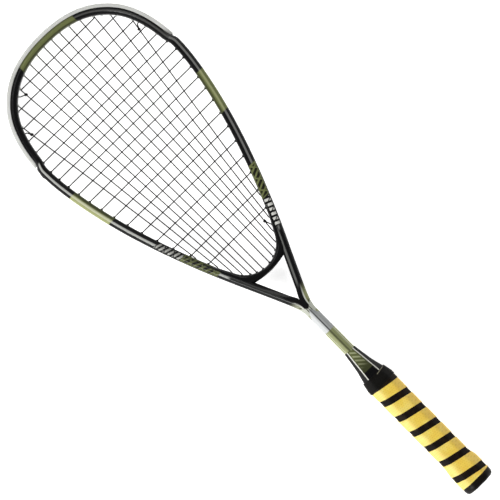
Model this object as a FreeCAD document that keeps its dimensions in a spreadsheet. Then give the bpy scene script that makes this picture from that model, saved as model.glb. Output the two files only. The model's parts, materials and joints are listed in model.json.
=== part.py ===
import FreeCAD, Part
import math
import os
import Sketcher
from FreeCAD import Placement, Rotation, Vector

# Squash racket, lying flat. The origin is the centre of the butt's end face, +Y runs up the
# racket to the tip of the head, X runs across the head and +Z is normal to the string bed.

doc = FreeCAD.newDocument("squash_racket")
sheet = doc.addObject("Spreadsheet::Sheet", "sizes")

SIZES = [
    ("racket_length", 686.0, "butt end face to the tip of the head"),
    ("head_half_width", 105.6, "axis to the widest point of the head"),
    ("head_start", 263.0, "where the two arms leave the shaft"),
    ("shaft_width", 13.6, "across the shaft, along X"),
    ("beam_height", 19.5, "depth of the frame tube along Z"),
    ("rail_width", 10.0, "width of the tube where it is bare"),
    ("crown_width", 8.0, "width of the tube under the bumper"),
    ("bumper_height", 4.3, "how far the bumper stands off the tube"),
    ("bumper_reach", 109.0, "how far below the tip the tube starts to step in for the bumper"),
    ("bumper_lap", 9.0, "how far above that start the bumper ends"),
    ("bumper_step", 15.0, "length of that step"),
    ("wall", 1.1, "wall of the frame tube"),
    ("crotch_fill", 6.0, "how much wider than a rail each arm is at the crotch of the fork"),
    ("crotch_lead", 4.0, "how far above the arms' start that filling is still full"),
    ("crotch_run", 26.0, "how far above the arms' start that filling ends"),
    ("groove_half", 2.6, "half width of the stringing groove"),
    ("groove_depth", 2.0, "depth of the stringing groove"),
    ("groove_lead", 55.0, "how far below the bridge's centre the groove starts"),
    ("frame_bottom", 12.0, "lower end of the shaft, inside the handle"),
    ("string_diameter", 1.2, "main and cross strings"),
    ("weave_gap", 0.04, "clearance between the two layers of string"),
    ("barrel_radius", 1.5, "outside of a grommet barrel"),
    ("bore_radius", 0.8, "inside of a grommet barrel"),
    ("flange", 0.8, "thickness of a grommet strip in the groove"),
    ("nub", 1.0, "how far a barrel stands into the head"),
    ("fit", 0.1, "clearance of the moulded pieces that sit in the frame"),
    ("bridge_radius", 34.0, "upper arc of the throat bridge"),
    ("bridge_room", 5.6, "gap between that arc and the rails, level with its centre"),
    ("bridge_width", 7.0, "thickness of the bridge on the axis"),
    ("bridge_depth", 15.0, "depth of the bridge along Z"),
    ("bridge_under_radius", 86.0, "lower face of the bridge"),
    ("handle_width", 30.0, "across the handle core, along X"),
    ("handle_depth", 26.0, "across the handle core, along Z"),
    ("handle_bottom", 4.0, "lower end of the handle core, in the butt cap"),
    ("handle_bevel", 7.0, "bevel off each corner of the handle core"),
    ("cone_start", 165.0, "where the handle core starts to taper"),
    ("cone_middle", 181.0, "where the taper is half way in"),
    ("cone_end", 204.0, "where the taper meets the shaft"),
    ("cone_width", 21.8, "width of the taper at its middle"),
    ("cone_depth", 23.4, "depth of the taper at its middle"),
    ("cone_bevel_x", 5.2, "bevel at the middle of the taper, along X"),
    ("cone_bevel_z", 5.6, "bevel at the middle of the taper, along Z"),
    ("cone_skin", 0.6, "wall of the taper where it meets the shaft"),
    ("cap_flare", 4.4, "how much wider the butt cap's collar is than the core"),
    ("cap_lip", 9.0, "height of the bare lip of the butt cap"),
    ("cap_straight", 26.0, "height where the collar starts to taper"),
    ("cap_length", 38.0, "height of the butt cap's collar"),
    ("cap_rounding", 1.6, "rounding of the end of the butt cap"),
    ("grip_bottom", 9.1, "lower edge of the grip"),
    ("grip_top", 157.0, "upper edge of the grip"),
    ("grip_thickness", 1.2, "black base layer of the grip"),
    ("band_thickness", 0.4, "raised yellow layer of the grip"),
    ("band_pitch", 22.8, "axial pitch of the raised layer"),
    ("band_width", 14.9, "axial width of the raised layer"),
    ("band_start", 16.2, "lower edge of the raised layer on the +X side"),
    ("tape_width", 10.0, "finishing tape over the end of the grip"),
    ("tape_thickness", 0.25, "thickness of that tape"),
    ("collar_top", 167.0, "upper edge of the rubber collar"),
    ("collar_length", 14.0, "length of the rubber collar"),
    ("collar_thickness", 0.9, "wall of the rubber collar"),
    ("staple_wire", 0.8, "thickness of the staples"),
    ("staple_span", 9.0, "width of a staple"),
    ("staple_leg", 4.5, "length of a staple's legs"),
    ("plug_length", 12.0, "foam plugs in the lower end of the shaft"),
]
for row, (alias, value, note) in enumerate(SIZES, start=1):
    sheet.set("A%d" % row, alias)
    sheet.set("B%d" % row, str(value))
    sheet.set("C%d" % row, note)
    sheet.setAlias("B%d" % row, alias)
doc.recompute()


def size(alias):
    """A driving dimension, read from the sheet."""
    return float(sheet.get(alias))


# ---------------------------------------------------------------- outline of the frame

# Shape of the head's right half from the shaft to the tip: share of the half width and
# share of the height from the arms' start.
HEAD_SHAPE = [(0.141, 0.0638), (0.283, 0.1418), (0.466, 0.2435), (0.672, 0.3735), (0.837, 0.5012),
              (0.956, 0.6312), (1.0, 0.7589), (0.915, 0.8648), (0.767, 0.9262), (0.540, 0.9712),
              (0.279, 0.9939), (0.0, 1.0)]
TIP_RUN = 4.0


def smooth(low, high, value):
    share = min(max((value - low) / (high - low), 0.0), 1.0)
    return share * share * (3.0 - 2.0 * share)


def head_outline():
    """The outer edge of the right half, from the start of the arm past the tip."""
    span = size("racket_length") - size("head_start")
    points = [Vector(size("shaft_width") / 2, size("head_start"), 0)]
    for across, along in HEAD_SHAPE:
        points.append(Vector(across * size("head_half_width"), size("head_start") + along * span, 0))
    curve = Part.BSplineCurve()
    curve.interpolate(Points=points, InitialTangent=Vector(0, 1, 0), FinalTangent=Vector(-1, 0, 0))
    return curve


OUTLINE = head_outline()
FIRST, LAST = OUTLINE.FirstParameter, OUTLINE.LastParameter
BUMPER_START = size("racket_length") - size("bumper_reach")
BUMPER_END = BUMPER_START + size("bumper_lap")


def station(share):
    """Outer point, outward normal and step share of the outline at a share of its length."""
    place = FIRST + (LAST - FIRST) * share
    point = OUTLINE.value(place)
    tangent = OUTLINE.tangent(place)[0]
    tangent.normalize()
    normal = Vector(tangent.y, -tangent.x, 0)
    stepped = smooth(BUMPER_START, BUMPER_START + size("bumper_step"), point.y)
    return point, normal, stepped


def tube_outer(stepped):
    """How far the tube's outer wall is inside the outline."""
    return size("bumper_height") * stepped


def tube_width(stepped):
    return size("rail_width") + (size("crown_width") - size("rail_width")) * stepped


def on_tube(share, inside):
    """A point measured inwards from the tube's outer wall."""
    point, normal, stepped = station(share)
    return point - normal * (tube_outer(stepped) + inside)


def share_where(test):
    """The share of the outline where test goes from negative to positive, by bisection."""
    low, high = 0.0, 1.0
    for _ in range(50):
        middle = (low + high) / 2
        if test(middle) > 0:
            high = middle
        else:
            low = middle
    return (low + high) / 2


def outline_height(across):
    """How high the arm's outer edge is where it is that far from the axis."""
    return station(share_where(lambda share: station(share)[0].x - across))[0].y


# The bridge sits where the arms are far enough apart for its arc.
BRIDGE_CENTRE = outline_height(size("bridge_radius") + size("rail_width") + size("bridge_room"))

# ---------------------------------------------------------------- sections of the frame tube

# Shares of the tube's width and depth that give its hexagonal section.
CREST = 0.42
OUTER_FLAT = 0.56
INNER_FLAT = 0.50
FORK_RUN = 60.0
WEB = 0.6
STEP_MARGIN = 3.0
# A corner of the hollow moves in by less than the wall where the faces beside it slant.
LEAN = 0.6


def section(point, normal, profile):
    """A closed wire: profile holds (distance inwards, height) pairs."""
    corners = [point - normal * inside + Vector(0, 0, height) for inside, height in profile]
    return Part.makePolygon(corners + corners[:1])


def tube_profile(start, width, shrink, groove, along):
    """Hexagonal tube section, shrunk on every side; groove adds the stringing groove."""
    beam = size("beam_height") / 2
    open_share = smooth(size("head_start"), size("head_start") + FORK_RUN, along)
    inner_flat = 1.0 + (INNER_FLAT - 1.0) * open_share
    half = [(start + width - shrink, beam * inner_flat - shrink * (1.0 - (1.0 - LEAN) * open_share)),
            (start + CREST * width, beam - shrink),
            (start + shrink, beam * OUTER_FLAT - LEAN * shrink)]
    if groove:
        lip = size("groove_half") + shrink
        half += [(start + shrink, lip), (start + size("groove_depth") + shrink, lip)]
    return half + [(inside, -height) for inside, height in reversed(half)]


def arm_width(stepped, along):
    """The tube's width, with the filling where the two arms meet."""
    start = size("head_start")
    bare = smooth(start + size("crotch_lead"), start + size("crotch_run"), along)
    return tube_width(stepped) + size("crotch_fill") * (1.0 - bare)


def tube_section(share, shrink, groove):
    point, normal, stepped = station(share)
    width = arm_width(stepped, point.y)
    profile = tube_profile(tube_outer(stepped), width, shrink, groove, point.y)
    return section(point, normal, profile)


def shaft_half(shrink, web):
    """The right half of the straight shaft."""
    width = size("shaft_width") / 2
    profile = tube_profile(0.0, width - web + shrink if web else size("rail_width"), shrink, False,
                           size("head_start"))
    wires = [section(Vector(width, along, 0), Vector(1, 0, 0), profile)
             for along in (size("frame_bottom"), size("head_start"))]
    return Part.makeLoft(wires, True, True)


def spread(first, last, count):
    return [first + (last - first) * index / count for index in range(count + 1)]


def share_at(height):
    return share_where(lambda share: station(share)[0].y - height)


GROOVE_SHARE = share_at(BRIDGE_CENTRE - size("groove_lead"))
STEP_IN = share_at(BUMPER_START - STEP_MARGIN)
STEP_OUT = share_at(BUMPER_START + size("bumper_step") + STEP_MARGIN)
HEAD_SHARES = (spread(GROOVE_SHARE, STEP_IN, 14) + spread(STEP_IN, STEP_OUT, 8)[1:]
               + spread(STEP_OUT, 1.0, 14)[1:])


def half_tube(shrink, web):
    """Right half of the frame in three lengths: shaft, arm and grooved head."""
    arm = [tube_section(share, shrink, False) for share in spread(0.0, GROOVE_SHARE, 6)]
    head = [tube_section(share, shrink, True) for share in HEAD_SHARES]
    point, normal, stepped = station(1.0)
    past = tube_profile(tube_outer(stepped), tube_width(stepped), shrink, True, point.y)
    head.append(section(point - Vector(TIP_RUN, 0, 0), normal, past))
    return [shaft_half(shrink, web), Part.makeLoft(arm, True, False), Part.makeLoft(head, True, False)]


# ---------------------------------------------------------------- where the strings go

# The strings spread over the head: spacings are shares of its half width and of its height.
HEAD_HEIGHT = size("racket_length") - size("head_start")
MAINS_A_SIDE = 7
FIRST_MAIN = 0.0521
MAIN_SPACING = 0.0975
MAIN_SPREAD = 0.000852
MAIN_LEVEL = size("head_start") + 0.728 * HEAD_HEIGHT
MAIN_FAN = 0.593
MAIN_FAN_POWER = 1.6
CROSS_COUNT = 19
FIRST_CROSS = 0.06265
CROSS_SPACING = 0.02884
CROSS_SPREAD_UP = 0.001726
CROSS_SPREAD_DOWN = 0.001631
TIGHTEST_CROSS = 7
HOLE_TILT = math.radians(35.0)
BEND_STANDOFF = 2.0
TIE_OFF_STEP = 14.0
TIE_OFF_SEARCH = 34.0


def main_place(number):
    """Distance of a main from the axis at MAIN_LEVEL, counted outwards from 1."""
    place = FIRST_MAIN
    for step in range(1, number):
        place += MAIN_SPACING + MAIN_SPREAD * step * step
    return place * size("head_half_width")


def main_slope(number):
    """How far a main leans out for each unit of height."""
    outwards = (number - 0.5) / (MAINS_A_SIDE - 0.5)
    return MAIN_FAN * outwards ** MAIN_FAN_POWER * size("head_half_width") / HEAD_HEIGHT


def cross_place(number):
    """Height of a cross above the butt, counted down from the tip."""
    below = FIRST_CROSS
    for step in range(1, number):
        spread_out = CROSS_SPREAD_UP if step < TIGHTEST_CROSS else CROSS_SPREAD_DOWN
        below += CROSS_SPACING + spread_out * abs(step - TIGHTEST_CROSS)
    return size("racket_length") - below * HEAD_HEIGHT


def turn(vector, angle):
    return Rotation(Vector(0, 0, 1), math.degrees(angle)).multVec(vector)


def flange_top(share, lift=0.0):
    """A point on the outside of a grommet strip, or lifted off it."""
    return on_tube(share, size("groove_depth") - size("flange") - lift)


def inner_wall(share):
    return on_tube(share, tube_width(station(share)[2]))


def crossing(start, heading, curve):
    """The share at which a ray from inside the head meets a curve that runs round it."""
    def side(share):
        away = curve(share) - start
        return heading.x * away.y - heading.y * away.x
    return share_where(side)


def hole(start, heading, height, wall_point=None):
    """A grommet hole for a string that reaches the frame along heading."""
    wall_point = wall_point or inner_wall(crossing(start, heading, inner_wall))
    normal = station(crossing(start, heading, flange_top))[1]
    lean = math.atan2(normal.x * heading.y - normal.y * heading.x, normal.dot(heading))
    axis = turn(normal, max(-HOLE_TILT, min(HOLE_TILT, lean)))
    bend = wall_point - heading * BEND_STANDOFF
    mouth = bend + axis * (BEND_STANDOFF - size("nub"))
    share = crossing(bend, axis, flange_top)
    lifted = Vector(0, 0, height)
    return {"bend": bend + lifted, "mouth": mouth + lifted, "axis": axis, "share": share,
            "exit": flange_top(share) + lifted, "height": height, "side": 1}


def flipped(spot):
    """The same hole on the left side."""
    copy = dict(spot)
    for key in ("bend", "mouth", "axis", "exit"):
        copy[key] = Vector(-spot[key].x, spot[key].y, spot[key].z)
    copy["side"] = -1
    return copy


# Past this angle the bridge's arc runs on straight, as horns that meet the rails.
BRIDGE_TURN_OFF = 62.0


def bridge_top(across):
    """Height of the upper face of the bridge at a distance from the axis."""
    turn_off = math.radians(BRIDGE_TURN_OFF)
    radius = size("bridge_radius")
    if across < radius * math.sin(turn_off):
        return BRIDGE_CENTRE - math.sqrt(radius ** 2 - across ** 2)
    past = across - radius * math.sin(turn_off)
    return BRIDGE_CENTRE - radius * math.cos(turn_off) + past * math.tan(turn_off)


BRIDGE_MAINS = 3
HORN_MAINS = 5
LEVEL = size("string_diameter") / 2 + size("weave_gap") / 2


def main_line(number, along):
    return Vector(main_place(number) + main_slope(number) * (along - MAIN_LEVEL), along, 0)


def main_heading(number):
    heading = Vector(main_slope(number), 1, 0)
    heading.normalize()
    return heading


def main_bridge_point(number):
    """Where a main meets the upper face of the bridge or of its horns."""
    along = BRIDGE_CENTRE
    for _ in range(20):
        along = bridge_top(main_line(number, along).x)
    return main_line(number, along)


def bridge_hole(number):
    """A hole straight down through the bridge."""
    heading = main_heading(number) * -1
    top = main_bridge_point(number)
    bend = top - heading * BEND_STANDOFF
    low = bridge_under(top.x) + size("groove_depth") - size("flange")
    lifted = Vector(0, 0, -LEVEL)
    exit_point = top + heading * ((top.y - low) / -heading.y)
    return {"bend": bend + lifted, "mouth": top - heading * size("nub") + lifted, "axis": heading,
            "share": None, "exit": exit_point + lifted, "height": -LEVEL, "side": 1}


def bridge_under(across):
    """Height of the lower face of the bridge."""
    low = BRIDGE_CENTRE - size("bridge_radius") - size("bridge_width")
    return low + size("bridge_under_radius") - math.sqrt(size("bridge_under_radius") ** 2 - across ** 2)


def main_holes():
    """Top and bottom holes of the right-hand mains, from the axis outwards."""
    tops, bottoms = [], []
    for number in range(1, MAINS_A_SIDE + 1):
        middle = main_line(number, MAIN_LEVEL)
        heading = main_heading(number)
        tops.append(hole(middle, heading, -LEVEL))
        if number <= BRIDGE_MAINS:
            bottoms.append(bridge_hole(number))
        else:
            met = main_bridge_point(number) if number <= HORN_MAINS else None
            bottoms.append(hole(middle, heading * -1, -LEVEL, met))
    return tops, bottoms


# A cross that would reach the frame where a main does shares that main's grommet.
SHARED = {1: 5, 3: 7}


def shared_hole(main_hole):
    """The same grommet, used by a cross in the upper layer."""
    main_hole["shared"] = True
    copy = dict(main_hole)
    for key in ("bend", "mouth", "exit"):
        copy[key] = main_hole[key] + Vector(0, 0, 2 * LEVEL)
    copy["height"] = LEVEL
    return copy


def cross_holes(tops):
    """Right-hand holes of the crosses, from the tip down."""
    holes = []
    for number in range(1, CROSS_COUNT + 1):
        if number in SHARED:
            holes.append(shared_hole(tops[SHARED[number] - 1]))
        else:
            holes.append(hole(Vector(0, cross_place(number), 0), Vector(1, 0, 0), LEVEL))
    return holes


def tie_off(share, axis, height):
    """A hole for the tail of a string, which comes back in through the frame."""
    exit_point = flange_top(share)
    start = exit_point - axis * TIE_OFF_SEARCH
    mouth = inner_wall(crossing(start, axis, inner_wall)) - axis * size("nub")
    lifted = Vector(0, 0, height)
    return {"bend": mouth - axis + lifted, "mouth": mouth + lifted, "axis": axis, "share": share,
            "exit": exit_point + lifted, "height": height, "side": 1}


TOPS, BOTTOMS = main_holes()
CROSSES = cross_holes(TOPS)
TIE_SHARE = TIE_OFF_STEP / OUTLINE.length()
MAIN_TIE_SHARE = TOPS[6]["share"] - TIE_SHARE
CROSS_TIE_SHARE = TOPS[4]["share"] - TIE_SHARE
LAST_TIE_SHARE = (BOTTOMS[4]["share"] + BOTTOMS[5]["share"]) / 2
MAIN_TIE = tie_off(MAIN_TIE_SHARE, station(MAIN_TIE_SHARE)[1], -LEVEL)
CROSS_TIE = tie_off(CROSS_TIE_SHARE, station(CROSS_TIE_SHARE)[1], LEVEL)
LAST_TIE = tie_off(LAST_TIE_SHARE, BOTTOMS[4]["axis"], LEVEL)


# ---------------------------------------------------------------- strings

LOOP_BEND = 1.6
TIGHTEST_BEND = 1.2
MOUTH_BEND = 3.0
TIE_BEND = 1.8
STRAIGHT_ON = 0.01
KNOT_RADIUS = 1.9
KNOT_LENGTH = 3.4
KNOT_GAP = 0.2
# Each string ends on a main: beside a cross, or part of the way to the next string's place.
KNOT_CROSS = 4
KNOT_CROSS_SIDE = 2.85
FIRST_KNOT_SHARE = 0.56
LAST_KNOT_SHARE = 0.4
MAIN_KNOT = cross_place(KNOT_CROSS) + KNOT_CROSS_SIDE
FIRST_CROSS_KNOT = (1 - FIRST_KNOT_SHARE) * cross_place(1) + FIRST_KNOT_SHARE * cross_place(2)
LAST_CROSS_KNOT = ((1 - LAST_KNOT_SHARE) * cross_place(CROSS_COUNT)
                   + LAST_KNOT_SHARE * BOTTOMS[4]["mouth"].y)


def rounded_path(points, radii):
    """Straight runs joined by tangent arcs: radii holds one radius for each inner point."""
    edges = []
    last = points[0]
    for before, corner, after, radius in zip(points, points[1:], points[2:], radii):
        back = (before - corner).normalize()
        ahead = (after - corner).normalize()
        turned = math.pi - back.getAngle(ahead)
        if turned < STRAIGHT_ON:
            continue
        reach = radius * math.tan(turned / 2)
        start, end = corner + back * reach, corner + ahead * reach
        inward = (back + ahead).normalize()
        middle = corner + inward * (radius / math.cos(turned / 2) - radius)
        edges.append(Part.LineSegment(last, start).toShape())
        edges.append(Part.Arc(start, middle, end).toShape())
        last = end
    edges.append(Part.LineSegment(last, points[-1]).toShape())
    return Part.Wire(edges)


def cord(points, radii, diameter):
    path = rounded_path(points, radii)
    heading = points[1] - points[0]
    profile = Part.Wire(Part.makeCircle(diameter / 2, points[0], heading))
    solid = path.makePipeShell([profile], True, False)
    if solid.Volume < 0:
        solid.reverse()
    return solid, path.Length


def chord_lift(first, second):
    """How far off the flange a straight string's corners stand, to clear the curve between them."""
    standoff = size("string_diameter") / 2 + size("weave_gap")
    start, end = flange_top(first), flange_top(second)
    chord = (end - start).normalize()
    rise = max(abs((flange_top(first + (second - first) * step / 12) - start).cross(chord).z)
               for step in range(13))
    square = min(abs(station(share)[1].cross(chord).z) for share in (first, second))
    return (standoff + rise) / square


def loop_corners(first, second):
    """The two outer corners of a string that runs from one hole to the next along the groove."""
    corners = []
    if first["share"] is None:
        chord = (second["exit"] - first["exit"]).Length
        lift = (size("string_diameter") / 2 + size("weave_gap")
                + chord ** 2 / (8 * size("bridge_under_radius")))
        for spot in (first, second):
            corners.append(spot["exit"] + spot["axis"] * lift)
        return corners
    lift = chord_lift(first["share"], second["share"])
    for spot in (first, second):
        axis = Vector(spot["axis"].x * spot["side"], spot["axis"].y, 0)
        bend = Vector(spot["bend"].x * spot["side"], spot["bend"].y, 0)
        share = crossing(bend, axis, lambda value: flange_top(value, lift))
        corner = flange_top(share, lift)
        corners.append(Vector(corner.x * spot["side"], corner.y, spot["height"]))
    return corners


def string_route(runs, first_tie, last_tie, first_knot, last_knot):
    """Points and radii of a whole string: runs holds the (start, end) holes of each pass."""
    points, radii = [first_knot, first_tie["bend"]], [TIE_BEND]

    def turned(before, corner, after):
        return math.pi - (before - corner).getAngle(after - corner)

    before = first_tie
    for start, end in runs:
        points += loop_corners(before, start) + [start["bend"], end["bend"]]
        radii += [LOOP_BEND, LOOP_BEND, MOUTH_BEND, MOUTH_BEND]
        before = end
    points += loop_corners(before, last_tie) + [last_tie["bend"], last_knot]
    radii += [LOOP_BEND, LOOP_BEND, TIE_BEND]
    for index, radius in enumerate(radii):
        if radius == LOOP_BEND:
            half_turn = turned(*points[index:index + 3]) / 2
            radii[index] = max(TIGHTEST_BEND, min(radius, LOOP_BEND / math.tan(half_turn)))
    return points, radii


# ---------------------------------------------------------------- document helpers

def feature(name, shape):
    """A sub-part whose shape is made here from the sheet's values."""
    item = doc.addObject("Part::Feature", name)
    item.Label = name
    item.Shape = shape
    item.Placement = Placement()
    return item


def body(name):
    item = doc.addObject("PartDesign::Body", name)
    item.Label = name
    return item


def plane_of(item, role):
    return next(plane for plane in item.Origin.OriginFeatures if plane.Role == role)


def sketch_across(item, name, along):
    """A sketch across the racket's axis; along is the expression for its height above the butt."""
    sketch = item.newObject("Sketcher::SketchObject", name)
    sketch.AttachmentSupport = (plane_of(item, "XZ_Plane"), "")
    sketch.MapMode = "FlatFace"
    sketch.setExpression(".AttachmentOffset.Base.z", "-(%s)" % along)
    return sketch


def octagon(sketch, width, depth, bevel_x, bevel_z):
    """An octagon about the axis: width along X, depth along Z, bevels off every corner."""
    half_x, half_y, cut = 10.0, 8.0, 4.0
    corners = [(-half_x + cut, half_y), (half_x - cut, half_y), (half_x, half_y - cut),
               (half_x, -half_y + cut), (half_x - cut, -half_y), (-half_x + cut, -half_y),
               (-half_x, -half_y + cut), (-half_x, half_y - cut)]
    for start, end in zip(corners, corners[1:] + corners[:1]):
        sketch.addGeometry(Part.LineSegment(Vector(*start, 0), Vector(*end, 0)), False)
    for index in range(8):
        sketch.addConstraint(Sketcher.Constraint("Coincident", index, 2, (index + 1) % 8, 1))
    for near, far in ((0, 4), (2, 6)):
        for end in (1, 2):
            sketch.addConstraint(Sketcher.Constraint("Symmetric", near, end, far, end, -1, 1))
    sketch.addConstraint(Sketcher.Constraint("Symmetric", 0, 1, 0, 2, -2))
    sketch.addConstraint(Sketcher.Constraint("Symmetric", 2, 1, 2, 2, -1))
    flat_x = "(%s) - 2 * (%s)" % (width, bevel_x)
    flat_z = "(%s) - 2 * (%s)" % (depth, bevel_z)
    for kind, near, near_end, far, far_end, words in (("DistanceX", 6, 1, 2, 1, width),
                                                      ("DistanceY", 4, 1, 0, 1, depth),
                                                      ("DistanceX", 0, 1, 0, 2, flat_x),
                                                      ("DistanceY", 2, 2, 2, 1, flat_z)):
        constraint = Sketcher.Constraint(kind, near, near_end, far, far_end, 10.0)
        sketch.setExpression("Constraints[%d]" % sketch.addConstraint(constraint), words)


def octagon_at(item, name, along, outline):
    sketch = sketch_across(item, name, along)
    octagon(sketch, *outline)
    return sketch


def loft(item, name, kind, sections):
    """A straight-sided loft through octagons: sections holds (along, outline) pairs."""
    sketches = [octagon_at(item, "%s_%d" % (name, number), along, outline)
                for number, (along, outline) in enumerate(sections)]
    step = item.newObject(kind, name)
    step.Profile = sketches[0]
    step.Sections = sketches[1:]
    step.Ruled = True


def pocket(item, name, along, outline, length):
    """An octagonal pocket that runs up the racket from along."""
    step = item.newObject("PartDesign::Pocket", name)
    step.Profile = octagon_at(item, name + "_outline", along, outline)
    step.setExpression("Length", length)


def cut_off(name, base, tools):
    """A node that is a body less the pieces that sit in it."""
    step = doc.addObject("Part::Cut", name)
    step.Label = name
    step.Base = base
    step.Tool = tools
    return step


# ---------------------------------------------------------------- handle

def core_outline(extra="0"):
    """The handle core's octagon, grown by extra all over."""
    return ("sizes.handle_width + 2 * (%s)" % extra, "sizes.handle_depth + 2 * (%s)" % extra,
            "sizes.handle_bevel + 0.6 * (%s)" % extra, "sizes.handle_bevel + 0.6 * (%s)" % extra)


def shaft_outline():
    bevel_x = "%s * sizes.rail_width" % CREST
    bevel_z = "%s * sizes.beam_height / 2" % (1 - OUTER_FLAT)
    return ("sizes.shaft_width + 2 * sizes.fit", "sizes.beam_height + 2 * sizes.fit", bevel_x, bevel_z)


CONE_END_BEVEL = 0.44


def make_handle_core():
    core = body("handle_core_blank")
    loft(core, "core_loft", "PartDesign::AdditiveLoft",
         [("sizes.handle_bottom", core_outline()),
          ("sizes.cone_start", core_outline()),
          ("sizes.cone_middle", ("sizes.cone_width", "sizes.cone_depth", "sizes.cone_bevel_x",
                                 "sizes.cone_bevel_z")),
          ("sizes.cone_end", ("sizes.shaft_width + 2 * sizes.cone_skin",
                              "sizes.beam_height + 2 * sizes.cone_skin",
                              "%s * sizes.rail_width" % CONE_END_BEVEL,
                              "%s * sizes.rail_width" % CONE_END_BEVEL))])
    pocket(core, "shaft_bore", "sizes.frame_bottom", shaft_outline(), "sizes.cone_end")
    return core


def make_butt_cap():
    cap = body("butt_cap_blank")
    lip = "sizes.cap_flare / 2 + sizes.grip_thickness + sizes.band_thickness"
    loft(cap, "cap_lip", "PartDesign::AdditiveLoft",
         [("0", core_outline(lip + " - sizes.cap_rounding")),
          ("sizes.cap_rounding", core_outline(lip)),
          ("sizes.cap_lip", core_outline(lip))])
    loft(cap, "cap_collar", "PartDesign::AdditiveLoft",
         [("sizes.cap_lip", core_outline("sizes.cap_flare / 2")),
          ("sizes.cap_straight", core_outline("sizes.cap_flare / 2")),
          ("sizes.cap_length", core_outline("sizes.cap_flare / 8"))])
    pocket(cap, "core_seat", "sizes.handle_bottom", core_outline("sizes.fit"), "sizes.cap_length")
    return cap


def make_base_grip():
    grip = body("base_grip")
    over_cap = "sizes.cap_flare / 2 + sizes.fit"
    loft(grip, "grip_outside", "PartDesign::AdditiveLoft",
         [("sizes.grip_bottom", core_outline(over_cap + " + sizes.grip_thickness")),
          ("sizes.cap_straight", core_outline(over_cap + " + sizes.grip_thickness")),
          ("sizes.cap_length + 1", core_outline("sizes.fit + sizes.grip_thickness")),
          ("sizes.grip_top", core_outline("sizes.fit + sizes.grip_thickness"))])
    loft(grip, "grip_over_cap", "PartDesign::SubtractiveLoft",
         [("sizes.grip_bottom", core_outline(over_cap)),
          ("sizes.cap_straight", core_outline(over_cap)),
          ("sizes.cap_length", core_outline("sizes.cap_flare / 8 + sizes.fit"))])
    pocket(grip, "grip_over_core", "sizes.cap_length", core_outline("sizes.fit"), "sizes.grip_top")
    return grip


def make_finishing_tape():
    tape = body("finishing_tape")
    under = "2 * sizes.fit + sizes.grip_thickness + sizes.band_thickness"
    start = "sizes.grip_top - sizes.tape_width"
    loft(tape, "tape_outside", "PartDesign::AdditiveLoft",
         [(start, core_outline(under + " + sizes.tape_thickness")),
          ("sizes.grip_top", core_outline(under + " + sizes.tape_thickness"))])
    pocket(tape, "tape_inside", start, core_outline(under), "sizes.tape_width + 1")
    return tape


def make_grip_collar():
    collar = body("grip_collar")
    over_tape = "3 * sizes.fit + sizes.grip_thickness + sizes.band_thickness + sizes.tape_thickness"
    start = "sizes.collar_top - sizes.collar_length"
    loft(collar, "collar_outside", "PartDesign::AdditiveLoft",
         [(start, core_outline(over_tape + " + 0.5 * sizes.collar_thickness")),
          ("sizes.grip_top", core_outline(over_tape + " + 0.7 * sizes.collar_thickness")),
          ("sizes.collar_top", core_outline("sizes.fit + 0.6 * sizes.collar_thickness"))])
    pocket(collar, "collar_over_tape", start, core_outline(over_tape),
           "sizes.grip_top + 0.1 - (%s)" % start)
    pocket(collar, "collar_over_core", start, core_outline("sizes.fit"), "sizes.collar_length + 1")
    return collar


def make_staples():
    """Two staples that hold the butt cap's collar to the core, one on each wide face."""
    top = "(sizes.handle_depth + sizes.cap_flare) / 2"
    middle = "(sizes.cap_lip + sizes.cap_straight) / 2"
    parts = []
    for name, start, width in (("crown", "-sizes.staple_span / 2", "sizes.staple_span"),
                               ("leg_left", "-sizes.staple_span / 2", "sizes.staple_wire"),
                               ("leg_right", "sizes.staple_span / 2 - sizes.staple_wire",
                                "sizes.staple_wire")):
        bar = doc.addObject("Part::Box", "staple_" + name)
        tall = "sizes.staple_wire" if name == "crown" else "sizes.staple_leg"
        bar.setExpression("Length", width)
        bar.setExpression("Width", "sizes.staple_wire")
        bar.setExpression("Height", tall)
        bar.setExpression(".Placement.Base.x", start)
        bar.setExpression(".Placement.Base.y", middle)
        bar.setExpression(".Placement.Base.z", "%s - %s" % (top, tall))
        parts.append(bar)
    upper = doc.addObject("Part::MultiFuse", "upper_staple")
    upper.Shapes = parts
    lower = doc.addObject("Part::Mirroring", "lower_staple")
    lower.Source = upper
    lower.Normal = Vector(0, 0, 1)
    pair = doc.addObject("Part::Compound", "butt_cap_staples")
    pair.Label = "butt_cap_staples"
    pair.Links = [upper, lower]
    return pair


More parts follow.
